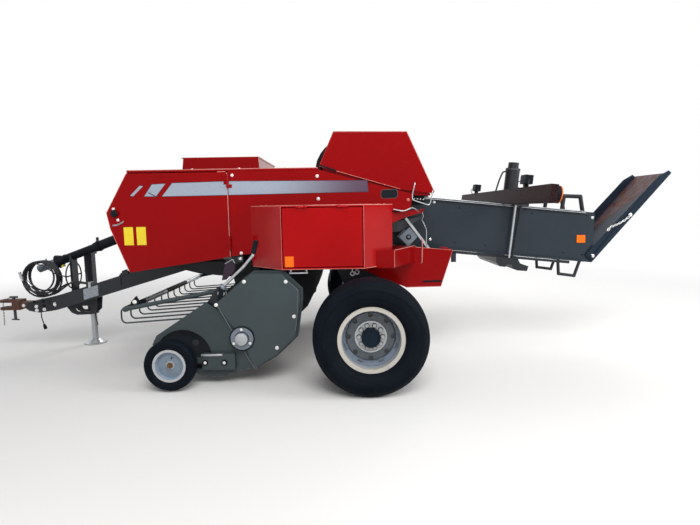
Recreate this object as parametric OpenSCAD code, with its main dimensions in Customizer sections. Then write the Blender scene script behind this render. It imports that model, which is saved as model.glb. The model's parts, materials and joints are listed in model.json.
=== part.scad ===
// Inline square baler, parked on the jack of its drawbar.
// X runs from the hitch to the chute, Y to the right-hand side, Z up.
// Heights are above the ground, and places along X are measured from the axle.

/* [Stance] */
// Distance from the axle forward to the nose of the hitch
hitch_reach = 3320; // [3250:10:3400]
// Height of the hitch above the ground
hitch_z = 430; // [410:5:450]
// Slope of the bale chamber, falling to the rear, in degrees
chamber_slope = 6; // [5:0.5:7]

/* [Main wheels] */
// Outer diameter of a main tyre
tyre_d = 785; // [760:5:800]
// Width of a main tyre
tyre_w = 340; // [300:5:345]
// Distance between the middles of the main tyres
wheel_track = 2250; // [2240:5:2350]
// Diameter over the rim's flanges
rim_d = 445; // [420:5:470]
// Depth of the wheel disc below the rim's outer edge
rim_dish = 110; // [90:5:120]
// Diameter of the axle's spindles
spindle_d = 70; // [60:2:76]
// Side of the square axle beam
axle_beam = 110; // [90:5:120]

/* [Gauge wheels] */
// Outer diameter of a gauge wheel's tyre
gauge_d = 360; // [340:5:365]
// Width of a gauge wheel's tyre
gauge_w = 90; // [80:2:96]
// Distance between the middles of the gauge wheels
gauge_track = 2120; // [2110:5:2150]
// Place of the gauge wheels' axle ahead of the main axle
gauge_ahead = 1389; // [1380:1:1398]
// Gap between the gauge wheels and the ground
gauge_lift = 8; // [6:1:14]

/* [Bale chamber] */
// Clear width of the bale chamber
bale_w = 457; // [450:1:460]
// Height of the chamber's side plates, square to their edges
chamber_h = 422; // [410:2:430]
// Length of the chamber's side plates along the slope
chamber_len = 1950; // [1900:10:1980]
// Length of the side plates and the plunger case ahead of them together
press_len = 3000; // [2960:10:3030]
// Thickness of the chamber's side plates
chamber_plate = 12; // [10:1:14]
// Place of the chamber's rear end behind the axle
chamber_rear = 1935; // [1920:5:1950]
// Height of the side plates' lower edge at the rear end
chamber_rear_z = 759; // [750:1:770]

/* [Chute] */
// Length of the bale chute
chute_len = 941; // [900:5:960]
// Angle above level at which the chute is folded, in degrees
chute_fold = 49.3; // [45:0.1:52]
// Thickness of the chute's sheet
chute_sheet = 8; // [6:1:10]
// Gap between the chute's flanges and the chamber's side plates
chute_gap = 8; // [6:1:10]

/* [Hood] */
// Width over the hood's side panels
hood_w = 1400; // [1380:5:1410]
// Height of the hood's roof
hood_z = 1555; // [1550:1:1570]
// Thickness of the folded hood panels
skin = 18; // [14:1:20]
// Gap round a door or a lid
panel_gap = 6; // [5:0.5:8]
// Seam between a front door and the panel behind it, ahead of the axle
seam_ahead = 1028; // [1020:1:1036]
// Width over the knotter cover's cheeks
cover_w = 1380; // [1360:2:1386]
// Outward reach of the twine boxes from the hood's sides
twine_box_depth = 250; // [230:5:255]

/* [Pickup] */
// Width over the pickup's side sheets
pickup_w = 1890; // [1880:2:1896]
// Thickness of the side sheets and shields
sheet = 12; // [8:1:12]
// Radius of the circle that the tines' tips run on
tine_tip_r = 225; // [215:1:228]
// Diameter of a tine
tine_d = 7; // [6:0.5:8]
// Distance between the tines along a bar
tine_pitch = 75; // [72:1:75]
// Number of tines on a bar
tine_count = 24; // [16:2:24]
// Number of tine bars on the reel
bar_count = 4; // [3:1:5]
// Outer radius of the stripper bands
stripper_r = 148; // [144:1:150]
// Width of a stripper band
stripper_w = 50; // [44:1:52]
// Radius of the feed auger's flights
auger_r = 125; // [115:1:128]
// Diameter of the windguard's rods
guard_rod_d = 12; // [10:1:14]
// Diameter of the windguard's tubes
guard_tube_d = 40; // [34:1:42]

/* [Drawbar] */
// Width of a drawbar beam
beam_w = 60; // [50:2:70]
// Height of a drawbar beam
beam_h = 120; // [110:2:124]
// Diameter of the hitch pin's hole
hitch_pin_d = 32; // [26:1:36]
// Side of the jack's square tube
jack_tube = 70; // [66:1:74]
// Diameter of the jack's sliding leg
jack_leg_d = 54; // [48:1:56]

/* [Driveline] */
// Diameter of the flywheel
flywheel_d = 660; // [600:10:670]
// Outer diameter of the guard tube on the driveline
guard_d = 72; // [66:1:78]
// Diameter of the driveline's shaft
drive_d = 40; // [34:1:44]

/* [Hidden] */
$fn = 40;

// Clearances between a shaft and its bore, between curved faces that meet, and round a moving piece
bearing_fit = 0.05;
seat_gap = 0.3;
run_gap = 6;

// The axle's place in the part's own frame, which puts the origin under the middle of its length
chute_pivot = [chamber_rear - 14, chamber_rear_z + 54];
chute_floor = -37;
chute_rear = chute_pivot[0] + chute_len * cos(chute_fold) - chute_floor * sin(chute_fold);
axle_x = (hitch_reach - chute_rear) / 2;
axle_z = tyre_d / 2;

// Planes of the side panels and sheets, as distances from the middle
plate_in = bale_w / 2;
plate_out = plate_in + chamber_plate;
rail_in = 340;
rail_out = rail_in + beam_w;
rail_z = 790;
rail_top = rail_z + 100;
hood_out = hood_w / 2;
hood_in = hood_out - skin;
twine_out = hood_out + twine_box_depth;
sheet_out = pickup_w / 2;
sheet_in = sheet_out - sheet;
wall_out = sheet_in - 8;
wall_in = wall_out - 10;
shield_in = sheet_out + 23;
shield_out = shield_in + sheet;
hub_x = -904;
hub_z = 345;
hub_r = 40;
reel_x = -1260;
reel_z = 300;
seam_x = -seam_ahead;
case_front = chamber_rear - press_len * cos(chamber_slope);
gear_len = 300;
gear_rear = case_front - 90;
gear_front = gear_rear - gear_len;
fly_x = gear_front - 220;
frame_front = gear_front - 40;
frame_rear = 660;
duct_x = [-788, -326];
saddle_x = [duct_x[0] - 192, -140, frame_rear - 60];
axle_top = axle_z + axle_beam / 2;
floor_w = 35;
bale_top_w = floor_w + 356;
pivot_tube_r = 10;
cover_pivot = [509, 1354];
guard_pivot = [-1061, 676];
guard_bar = [-1765, 548];

RED = "#a8141c";
CHARCOAL = "#4a4e53";
BLACK = "#1d1e20";
STEEL = "#aeb3b8";
SLATE = "#363b45";

module from_axle() {
    translate([axle_x, 0, 0]) children();
}

module both_sides() {
    children();
    mirror([0, 1, 0]) children();
}

// A profile in X and Z, extruded from y0 to y1
module slab(points, y0, y1) {
    translate([0, y1, 0]) rotate([90, 0, 0]) linear_extrude(y1 - y0) polygon(points);
}

module block(x0, x1, y0, y1, z0, z1) {
    translate([x0, y0, z0]) cube([x1 - x0, y1 - y0, z1 - z0]);
}

// A cylinder along Y
module rod_y(x, z, r, y0, y1) {
    translate([x, y1, z]) rotate([90, 0, 0]) cylinder(r = r, h = y1 - y0);
}

// A round bar between two points
module bar(a, b, d) {
    v = b - a;
    len_xy = norm([v[0], v[1]]);
    translate(a) rotate([0, atan2(len_xy, v[2]), atan2(v[1], v[0])]) cylinder(d = d, h = norm(v));
}

// A rectangular tube's outside between two points, its height in the upright plane
module beam(a, b, w, h) {
    v = b - a;
    len_xy = norm([v[0], v[1]]);
    translate(a) rotate([0, -atan2(v[2], len_xy), atan2(v[1], v[0])]) translate([0, -w / 2, -h / 2])
        cube([norm(v), w, h]);
}

// A bent round rod in the XY plane. Each step is a straight length, then a turn and its radius.
module bent_rod(d, steps, i = 0) {
    if (i < len(steps)) {
        length = steps[i][0];
        turn = steps[i][1];
        r = steps[i][2];
        side = turn < 0 ? -1 : 1;
        if (length > 0) rotate([0, 90, 0]) cylinder(d = d, h = length);
        translate([length, 0, 0]) {
            if (turn != 0) {
                mirror([0, turn < 0 ? 1 : 0, 0]) translate([0, r, 0]) rotate([0, 0, -90])
                    rotate_extrude(angle = abs(turn)) translate([r, 0]) circle(d = d);
            }
            translate([r * sin(abs(turn)), side * r * (1 - cos(turn)), 0]) rotate([0, 0, turn])
                bent_rod(d, steps, i + 1);
        }
    }
}

// The chamber's own frame: X along the slope with 0 at the rear end, Z up from the plates' lower edge
module at_chamber() {
    translate([chamber_rear, 0, chamber_rear_z]) rotate([0, chamber_slope, 0]) children();
}

function along(x) = (x - chamber_rear) / cos(chamber_slope);
function case_bottom(x) = chamber_rear_z + (chamber_rear - x) * tan(chamber_slope);
function chamber_top(x) = case_bottom(x) + chamber_h / cos(chamber_slope);
function arc(cx, cy, r, a0, a1, n) =
    [for (i = [0:n]) [cx + r * cos(a0 + (a1 - a0) * i / n), cy + r * sin(a0 + (a1 - a0) * i / n)]];

// Main frame with its rails, cross tubes, axle brackets, hood posts and saddles for the chamber
module main_frame() {
    color(BLACK) from_axle() {
        both_sides() {
            block(frame_front, frame_rear, rail_in, rail_out, rail_z, rail_top);
            for (y = [rail_in, rail_out - 16])
                slab([[-260, rail_z + 1], [260, rail_z + 1], [90, axle_top], [-90, axle_top]], y, y + 16);
            // Hanger of the tube that carries the feed trough
            block(-900, -840, rail_in, rail_out, 759, rail_z + 1);
            // Hood posts
            block(-1010, -970, hood_in - 40, hood_in, rail_top - 40, hood_z - skin);
            block(-150, -110, hood_in - 40, hood_in, rail_top - 40, 1440);
            // Saddles under the side plates
            for (x = saddle_x)
                slab([[x, rail_top], [x + 60, rail_top], [x + 60, case_bottom(x + 60)], [x, case_bottom(x)]],
                    plate_in - 20, plate_out + 40);
        }
        for (x = [-1010, -150]) block(x, x + 40, -hood_in, hood_in, rail_top - 40, rail_top);
        for (x = concat([frame_front], saddle_x))
            block(x, x + 60, -rail_in - 1, rail_in + 1, rail_z, rail_top);
        block(-900, -840, -wall_in, wall_in, 700, 760);
        // Pedestal under the gearbox
        block(frame_front, gear_rear + 40, -rail_in, rail_in, rail_top - 10, rail_top);
        both_sides() block(gear_front, gear_rear, 110, 125, rail_top, gear_z[0]);
    }
}

// Square axle beam with a spindle at each end
module axle() {
    color(BLACK) from_axle() {
        block(-axle_beam / 2, axle_beam / 2, -930, 930, axle_z - axle_beam / 2, axle_top);
        rod_y(0, axle_z, spindle_d / 2, -wheel_track / 2 - 40, wheel_track / 2 + 40);
    }
}

beam_front = [-2780, 65, 444];
beam_rear = [frame_front, 370, 829];

// Two beams that meet at the hitch, their side plates, the lifting loops and the cross tube
module drawbar() {
    color(BLACK) from_axle() {
        intersection() {
            both_sides() beam(beam_front, beam_rear + (beam_rear - beam_front) * 0.08, beam_w, beam_h);
            block(-4000, frame_front, -1000, 1000, 0, 2000);
        }
        both_sides() difference() {
            slab([
                [-3060, hitch_z - 28], [-3040, hitch_z + 25], [-2900, hitch_z + 52], [-2640, hitch_z + 112],
                [-2420, hitch_z + 176], [-2420, hitch_z + 40], [-2432, hitch_z - 60], [-2470, hitch_z - 92],
                [-2600, hitch_z - 96], [-2650, hitch_z - 75], [-2690, hitch_z - 20], [-2820, hitch_z - 55],
                [-2940, hitch_z - 70], [-3030, hitch_z - 52]
            ], 45, 57);
            // Oblong hole of the lifting loop
            for (x = [-2585, -2500]) rod_y(x, hitch_z - 40, 26, 0, 200);
            block(-2585, -2500, 0, 200, hitch_z - 66, hitch_z - 14);
        }
        block(-2420, -2380, -130, 130, 510, 560);
    }
}

// Shank and clevis with the upright hole of the hitch pin
module hitch() {
    color("#5a3a2a") from_axle() {
        difference() {
            union() {
                block(-3190, -2800, -44.7, 44.7, hitch_z - 26, hitch_z + 26);
                for (z = [-45, 23]) {
                    block(50 - hitch_reach, -3120, -50, 50, hitch_z + z, hitch_z + z + 22);
                    translate([50 - hitch_reach, 0, hitch_z + z]) cylinder(r = 50, h = 22);
                }
                block(-3190, -3120, -50, 50, hitch_z - 45, hitch_z + 45);
            }
            translate([50 - hitch_reach, 0, 0]) cylinder(d = hitch_pin_d, h = 2000);
        }
    }
}

// Place on the middle line of the right beam
function beam_at(x) =
    beam_front + (beam_rear - beam_front) * (x - beam_front[0]) / (beam_rear[0] - beam_front[0]);

jack_x = -2600;
jack_y = beam_at(jack_x)[1] + 108;
jack_beam_z = beam_at(jack_x)[2];
cradle_x = -2640;

// Square jack tube on the drawbar's right beam
module jack() {
    color(BLACK) from_axle() difference() {
        union() {
            block(jack_x - jack_tube / 2, jack_x + jack_tube / 2, jack_y - jack_tube / 2, jack_y + jack_tube / 2,
                290, 860);
            block(jack_x - 45, jack_x + 45, jack_y - 50, jack_y + 50, 860, 880);
            // Bracket to the side plate
            block(jack_x - 40, jack_x + 40, jack_y - 105, jack_y - 30, jack_beam_z - 28, jack_beam_z + 32);
            // Crank
            bar([jack_x, jack_y, 875], [jack_x, jack_y, 930], 24);
            bar([jack_x, jack_y, 920], [jack_x, jack_y + 170, 920], 16);
            bar([jack_x, jack_y + 162, 920], [jack_x, jack_y + 162, 1010], 26);
        }
        translate([jack_x, jack_y, 280]) cylinder(d = jack_leg_d + 2 * seat_gap, h = 520);
        // Room for the drawbar's beam
        beam(beam_front, beam_rear, beam_w, beam_h);
    }
}

// Sliding leg and foot plate of the jack
module jack_leg() {
    color(STEEL) from_axle() {
        translate([jack_x, jack_y, 10]) cylinder(d = jack_leg_d, h = 560);
        translate([jack_x, jack_y, 0]) cylinder(d = 200, h = 12);
        translate([jack_x, jack_y, 12]) cylinder(d1 = 130, d2 = 80, h = 30);
    }
}

shaft_z = 1175;
gear_z = [1000, 1330];

// Main gearbox behind the flywheel
module gearbox() {
    color(CHARCOAL) from_axle() difference() {
        union() {
            block(gear_front, gear_rear, -150, 150, gear_z[0], gear_z[1]);
            translate([gear_front, 0, shaft_z]) rotate([0, -90, 0]) cylinder(r = 105, h = 60);
            rod_y((gear_front + gear_rear) / 2, shaft_z - 10, 120, -215, 215);
        }
        translate([fly_x + 60, 0, shaft_z]) rotate([0, 90, 0]) cylinder(r = 30 + bearing_fit, h = 200);
    }
}

// Flywheel with its rim, web and shaft
module flywheel() {
    color(RED) from_axle() translate([fly_x, 0, shaft_z]) rotate([0, 90, 0]) {
        difference() {
            translate([0, 0, -40]) cylinder(d = flywheel_d, h = 80);
            for (z = [-41, 12]) translate([0, 0, z]) cylinder(d = flywheel_d - 120, h = 29);
        }
        translate([0, 0, -70]) cylinder(r = 75, h = 120);
        cylinder(r = 30, h = 250);
    }
    // Neck and ball of the driveline's joint
    color(STEEL) from_axle() {
        bar([fly_x - 60, 0, shaft_z], pto_rear, 30);
        translate(pto_rear) sphere(r = ball_r);
    }
}

ball_r = 24;
pto_rear = [fly_x - 110, 0, shaft_z];
pto_front = [-2800, 0, 802];
pto_angle = atan2(pto_rear[2] - pto_front[2], pto_rear[0] - pto_front[0]);
pto_len = norm(pto_rear - pto_front);

// The driveline's own frame: its X runs up the shaft from the front yoke
module along_pto() {
    translate(pto_front) rotate([0, -pto_angle, 0]) rotate([0, 90, 0]) children();
}

// Telescoping shaft with a yoke at each end
module pto_shaft() {
    color(STEEL) from_axle() along_pto() {
        translate([0, 0, 10]) cylinder(d = drive_d, h = pto_len - 50);
        difference() {
            union() {
                translate([0, 0, -60]) cylinder(r = 38, h = 90);
                translate([0, 0, -150]) cylinder(r = 34, h = 100);
            }
            translate([0, 0, -151]) cylinder(r = 17.5, h = 70);
            translate([-15, -60, -72]) cube([30, 120, 50]);
        }
        difference() {
            translate([0, 0, pto_len - 60]) cylinder(r = 38, h = 60);
            translate([0, 0, pto_len]) sphere(r = ball_r + seat_gap);
        }
    }
}

// Guard tubes over the shaft, the outer one stepped
module pto_guard() {
    color(BLACK) from_axle() along_pto() difference() {
        union() {
            translate([0, 0, 60]) cylinder(d = guard_d, h = pto_len - 140);
            translate([0, 0, pto_len * 0.42]) cylinder(d = guard_d + 14, h = pto_len * 0.58 - 80);
            translate([0, 0, 35]) cylinder(r1 = 62, r2 = guard_d / 2, h = 60);
        }
        translate([0, 0, 30]) cylinder(d = drive_d + 2 * run_gap, h = pto_len);
        translate([0, 0, 30]) cylinder(r1 = 56, r2 = 34, h = 50);
    }
}

// Stand that holds the driveline above the hitch, with the ring for the hoses
module pto_cradle() {
    color(BLACK) from_axle() {
        difference() {
            block(cradle_x, cradle_x + 20, -45, 45, hitch_z + 70, 875);
            along_pto() cylinder(d = guard_d + 2 * seat_gap, h = 400);
            translate([cradle_x - 10, -guard_d / 2 - seat_gap, 858]) cube([40, guard_d + 2 * seat_gap, 100]);
        }
        translate([cradle_x + 4, 0, 690]) rotate([0, 90, 0]) rotate_extrude() translate([120, 0]) circle(d = 12);
        block(cradle_x, cradle_x + 8, -118, 118, 684, 696);
    }
}

// Side profile of a hood door and of the panel behind it
hood_front = fly_x - 287;
hood_nose = [[hood_front + 171, hood_z - 5], [hood_front, 1244], [hood_front + 22, 1124],
    [hood_front + 149, 793]];
door_top = hood_z - skin - panel_gap;
knuckle_z = [980, 1440];
knuckle_h = 50;
hinge_y = hood_out + pivot_tube_r + 1;

// Roof, front panel and the raised box over the gearbox
module hood_top() {
    color(RED) from_axle() {
        block(hood_nose[0][0], -356, -hood_out, hood_out, hood_z - skin, hood_z);
        difference() {
            slab([hood_nose[0], hood_nose[1], hood_nose[2], hood_nose[3], hood_nose[3] + [20, 0],
                hood_nose[2] + [18, 0], hood_nose[1] + [18, 0], hood_nose[0] + [24, 0]],
                panel_gap - hood_in, hood_in - panel_gap);
            block(hood_front - 100, hood_front + 246, -345, 345, 700, 1200);
        }
        slab([[-1460, hood_z], [-1445, hood_z + 115], [-850, hood_z + 115], [-840, hood_z]], -420, 420);
    }
}

side_top = [[-356, hood_z - skin], [243, 1375], [346, 1348], [325, 1230]];

// Fixed side panel of the hood, from the door's seam to the knotters
module hood_side() {
    color(RED) from_axle() {
        slab([
            [seam_x + panel_gap / 2, 905], [seam_x + panel_gap / 2, hood_z - skin], each side_top,
            [190, 1225], [190, 830], [-866, 830], [-866, 922]
        ], hood_in, hood_out);
        // Hinge tubes above and below the door's
        for (z = knuckle_z) for (low = [z - 25 - seat_gap, z + knuckle_h + seat_gap]) {
            translate([seam_x, hinge_y, low]) cylinder(r = pivot_tube_r, h = 25);
            block(seam_x, seam_x + 30, hood_out, hood_out + 6, low, low + 25);
        }
    }
}
module side_left() {
    mirror([0, 1, 0]) hood_side();
}
module side_right() {
    hood_side();
}

// Front door with its hinge tubes on the seam
module hood_door() {
    color(RED) from_axle() {
        slab([
            hood_nose[3], hood_nose[2], hood_nose[1], [hood_nose[0][0] - 4, door_top],
            [seam_x - panel_gap / 2, door_top], [seam_x - panel_gap / 2, 899]
        ], hood_in, hood_out);
        for (z = knuckle_z) {
            translate([seam_x, hinge_y, z]) cylinder(r = pivot_tube_r, h = knuckle_h);
            block(seam_x - 30, seam_x, hood_out, hood_out + 6, z, z + knuckle_h);
        }
    }
}
module door_left() {
    mirror([0, 1, 0]) hood_door();
}
module door_right() {
    hood_door();
}

cover_profile = [[-352, 1562], [-240, 1814], [302, 1806], [509, 1362], [497, 1352], [250, 1384]];

// Cover over the knotters, hinged at its lower rear edge
module knotter_cover() {
    half = cover_w / 2;
    color(RED) from_axle() {
        both_sides() slab(cover_profile, half - skin, half);
        difference() {
            slab([cover_profile[0], cover_profile[1], cover_profile[2], cover_profile[3],
                cover_profile[3] + [-20, 0], cover_profile[2] + [-11, -skin], cover_profile[1] + [12, -skin],
                cover_profile[0] + [20, 0]], -half, half);
            both_sides() block(400, 600, plate_out - 6, plate_out + 28, 1300, 1390);
        }
        both_sides() rod_y(cover_pivot[0], cover_pivot[1], pivot_tube_r, plate_out + 4, plate_out + 80);
    }
}

// Curved air duct that blows the knotters clean
module knotter_fan() {
    color(BLACK) from_axle() slab([
        [-400, hood_z], [-404, 1600], [-392, 1650], [-360, 1710], [-322, 1755], [-289, 1778], [-282, 1766],
        [-314, 1700], [-358, 1590], [-367, hood_z]
    ], -250, 250);
}

twine_y = [-115, 115];
knot_u = along(cover_pivot[0]) - 351;
knot_h = chamber_h + 120;
deck_t = 12;

// Deck on top of the chamber with the knotters on their common shaft
module knotters() {
    deck = chamber_h + deck_t;
    color(STEEL) from_axle() at_chamber() {
        difference() {
            translate([knot_u - 115, -plate_out, chamber_h]) cube([370, 2 * plate_out, deck_t]);
            // Slots for the needles
            for (y = twine_y) translate([knot_u - 60, y - 20, chamber_h - 1]) cube([70, 16, deck_t + 2]);
        }
        rod_y(knot_u, knot_h, 16, -300, 300);
        // Bearings of the shaft
        for (y = [-220, 205]) slab([[knot_u - 60, deck - 1], [knot_u + 60, deck - 1], [knot_u + 28, knot_h + 26],
            [knot_u - 28, knot_h + 26]], y, y + 15);
        for (y = twine_y) {
            // Cam disc with a notch in its rim
            difference() {
                rod_y(knot_u, knot_h, 95, y - 9, y + 9);
                rod_y(knot_u + 88, knot_h + 52, 30, y - 10, y + 10);
                for (a = [60:60:240]) rod_y(knot_u + 58 * cos(a), knot_h + 58 * sin(a), 15, y - 10, y + 10);
            }
            // Frame behind the cam disc with the twine disc and the bill hook
            slab([[knot_u - 26, knot_h + 22], [knot_u + 20, knot_h + 30], [knot_u + 116, knot_h - 20],
                [knot_u + 176, deck + 40], [knot_u + 176, deck - 1], [knot_u + 120, deck - 1],
                [knot_u + 96, deck + 34], [knot_u + 20, knot_h - 30], [knot_u - 26, knot_h - 22]], y + 16, y + 30);
            rod_y(knot_u, knot_h, 30, y + 8, y + 31);
            rod_y(knot_u + 136, deck + 44, 34, y + 29, y + 35);
            rod_y(knot_u + 136, deck + 44, 34, y + 41, y + 47);
            rod_y(knot_u + 136, deck + 44, 12, y + 29, y + 54);
            bar([knot_u + 88, y + 23, deck + 58], [knot_u + 76, y - 24, deck + 14], 14);
            bar([knot_u + 76, y - 24, deck + 14], [knot_u + 96, y - 44, deck + 16], 9);
        }
    }
}

twine_z = 825;
twine_top = 1275;
twine_wall = 12;
lid_x = [-600, -40];
lid_z = [twine_z + twine_wall + panel_gap, twine_top - twine_wall - panel_gap];
lid_pivot = [twine_out + 9, lid_z[1] + panel_gap];
lid_knuckles = [-500, -190];

// Hollow twine box on the hood's side with an opening for its lid
module twine_box() {
    wall = twine_wall;
    color(RED) from_axle() {
        difference() {
            translate([0, 0, twine_z]) linear_extrude(twine_top - twine_z)
                polygon([[-866, hood_out], [-610, twine_out], [-30, twine_out], [190, hood_out]]);
            translate([0, 0, twine_z + wall]) linear_extrude(twine_top - twine_z - 2 * wall)
                polygon([[-835, hood_out + wall], [-605, twine_out - wall], [-35, twine_out - wall],
                    [163, hood_out + wall]]);
            block(lid_x[0] - panel_gap, lid_x[1] + panel_gap, twine_out - 40, twine_out + 1, lid_z[0] - panel_gap,
                lid_z[1] + panel_gap);
        }
        for (x = [lid_knuckles[0] + knuckle_h + seat_gap, lid_knuckles[1] - 25 - seat_gap]) {
            translate([x, lid_pivot[0], lid_pivot[1]]) rotate([0, 90, 0]) cylinder(r = 8, h = 25);
            block(x, x + 25, twine_out - 1, twine_out + 4, lid_pivot[1], twine_top);
        }
    }
}
module twine_box_left() {
    mirror([0, 1, 0]) twine_box();
}
module twine_box_right() {
    twine_box();
}

// Lid of a twine box with its hinge tubes along the top edge
module twine_lid() {
    color(RED) from_axle() {
        block(lid_x[0], lid_x[1], twine_out - twine_wall, twine_out, lid_z[0], lid_z[1]);
        for (x = lid_knuckles) {
            translate([x, lid_pivot[0], lid_pivot[1]]) rotate([0, 90, 0]) cylinder(r = 8, h = knuckle_h);
            block(x, x + knuckle_h, twine_out - 1, twine_out + 4, lid_pivot[1] - 30, lid_pivot[1] - 3);
        }
    }
}
module twine_lid_left() {
    mirror([0, 1, 0]) twine_lid();
}
module twine_lid_right() {
    twine_lid();
}

// Guard round the needles and the stepped box ahead of it, one on each side
module lower_guards() {
    color(RED) from_axle() both_sides() {
        slab([[395, 932], [702, 903], [607, 606], [322, 602], [192, 732], [95, 815], [95, 850], [300, 932]],
            435, 450);
        difference() {
            translate([0, 0, 815]) linear_extrude(130)
                polygon([[60, 850], [190, 850], [395, 449], [210, 449], [210, hood_out + 1], [192, hood_out + 1]]);
            translate([0, 0, 800]) linear_extrude(133)
                polygon([[82, 838], [183, 838], [376, 460], [222, 460], [222, hood_out + 12], [198, hood_out + 12]]);
        }
        block(430, 490, rail_out, 436, 840, 880);
        block(240, 280, rail_out, 451, 932, 944);
        block(240, 280, rail_out, 410, rail_top - 25, 944);
    }
}

// Closed case of the plunger ahead of the bale chamber, open below for the crop
module plunger_case() {
    color(SLATE) from_axle() at_chamber() difference() {
        translate([-press_len, -plate_out, 0]) cube([press_len - chamber_len, 2 * plate_out, chamber_h]);
        translate([20 - press_len, -plate_in, floor_w]) cube([press_len, 2 * plate_in, bale_top_w - floor_w]);
        // Way in from the feed duct
        translate([along(duct_x[0]), -plate_in, -10])
            cube([along(duct_x[1]) - along(duct_x[0]), 2 * plate_in, floor_w + 20]);
    }
}

// Side plate of the bale chamber with its folded ribs
module chamber_side() {
    color(SLATE) from_axle() at_chamber() {
        translate([0, plate_out, 0]) rotate([90, 0, 0]) linear_extrude(chamber_plate)
            polygon([[-chamber_len, 0], [0, 0], [-35, chamber_h], [-chamber_len, chamber_h]]);
        translate([-chamber_len, plate_out, chamber_h - 12]) cube([chamber_len - 120, 22, 12]);
        translate([570 - chamber_len, plate_out, 0]) cube([chamber_len - 650, 22, 12]);
    }
    color(SLATE) from_axle() {
        // Bracket of the knotter cover's hinge
        difference() {
            slab([[470, chamber_top(470) - 8], [545, chamber_top(545) - 8], [520, cover_pivot[1] + 14],
                [496, cover_pivot[1] + 14]], plate_out + 2, plate_out + 20);
            rod_y(cover_pivot[0], cover_pivot[1], pivot_tube_r + bearing_fit, 0, 2000);
        }
        // Pivot of the chute
        rod_y(chute_pivot[0], chute_pivot[1], 12, plate_out - 1, plate_out + chute_gap + chute_sheet + 8);
    }
}
module chamber_left() {
    mirror([0, 1, 0]) chamber_side();
}
module chamber_right() {
    chamber_side();
}

// Floor of the bale chamber and its top and bottom tension rails
module chamber_rails() {
    color(STEEL) from_axle() at_chamber() {
        translate([-chamber_len, -plate_in, floor_w - 12]) cube([chamber_len - 10, 2 * plate_in, 12]);
        for (y = [-200, 160])
            translate([430 - chamber_len, y, bale_top_w]) cube([chamber_len - 500, 40, chamber_h - bale_top_w]);
    }
}

// Curved duct that lifts the crop into the plunger case
module feed_duct() {
    outline = [[-770, 250], [-640, 290], [-500, 420], [-400, 620], [-340, 820],
        [duct_x[1] + 10, case_bottom(duct_x[1] + 10) - seat_gap],
        [duct_x[0] - 12, case_bottom(duct_x[0] - 12) - seat_gap], [duct_x[0] - 12, 500]];
    inner = [[-900, 262], [-645, 302], [-508, 426], [-409, 624], [-349, 822], [duct_x[1], 1200],
        [duct_x[0], 1200], [duct_x[0], 496], [-900, 480]];
    color(CHARCOAL) from_axle() difference() {
        slab(outline, -plate_out, plate_out);
        slab(inner, -plate_in, plate_in);
    }
}

trough_r = auger_r + 15;
wall_top = [[-1070, 606], [-880, 776]];
function wall_edge(x) =
    wall_top[0][1] + (x - wall_top[0][0]) * (wall_top[1][1] - wall_top[0][1]) / (wall_top[1][0] - wall_top[0][0]);

// Trough round the feed auger between the inner walls
module feed_trough() {
    color(CHARCOAL) from_axle() {
        difference() {
            rod_y(hub_x, hub_z, trough_r + 8, -wall_in, wall_in);
            rod_y(hub_x, hub_z, trough_r, -wall_in - 1, wall_in + 1);
            // Open to the pickup in front and above
            slab([[hub_x, hub_z], [hub_x - 400, hub_z - 500], [hub_x - 400, hub_z + 500], [hub_x + 40, hub_z + 500]],
                -wall_in - 1, wall_in + 1);
            block(hub_x, hub_x + 300, -plate_out, plate_out, hub_z - 160, hub_z + 300);
        }
        both_sides() difference() {
            slab([wall_top[0], wall_top[1], [-812, 822], [-598, 816], [-470, 690], [-470, 610], [-510, 345],
                [-666, 198], [-815, 110], [-1000, 300]], wall_in, wall_out);
            rod_y(hub_x, hub_z, hub_r - 4, 0, 2000);
        }
    }
}

auger_tube_r = 55;
flight_in = 290;
flight_pitch = 190;

// Feed auger with a helical flight at each side that carries the crop to the middle
module feed_auger() {
    flight_len = wall_in - run_gap - flight_in;
    color(STEEL) from_axle() {
        rod_y(hub_x, hub_z, 30, 5 - sheet_in, sheet_in - 5);
        rod_y(hub_x, hub_z, auger_tube_r, -wall_in + run_gap, wall_in - run_gap);
        both_sides() translate([hub_x, wall_in - run_gap, hub_z]) rotate([90, 0, 0])
            linear_extrude(flight_len, twist = 360 * flight_len / flight_pitch, slices = 66, segments = 4)
                translate([auger_tube_r - 8, -9]) square([auger_r - auger_tube_r + 8, 18]);
        // Paddles that pass the crop on in the middle
        for (y = [-150, 0, 150]) for (a = [0, 180]) translate([hub_x, y, hub_z]) rotate([0, a + 35, 0])
            translate([auger_tube_r - 5, -55, -3]) cube([60, 110, 6]);
    }
}

// Large shield outside the pickup's drive, with its folded rim
module shield() {
    color(CHARCOAL) from_axle() {
        difference() {
            slab([[-1084, 596], [-877, 763], [-816, 807], [-607, 802], [-584, 772], [-495, 686], [-487, 615],
                [-525, 371], [-529, 349], [-676, 213], [-825, 124], [hub_x, hub_z]], shield_in, shield_out);
            rod_y(hub_x, hub_z, hub_r, 0, 2000);
        }
        // Spacers to the inner wall
        for (p = [[-860, 735], [-620, 745], [-560, 500], [-680, 290]])
            rod_y(p[0], p[1], 14, wall_out, shield_in + 1);
    }
}
module shield_left() {
    mirror([0, 1, 0]) shield();
}
module shield_right() {
    shield();
}

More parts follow.
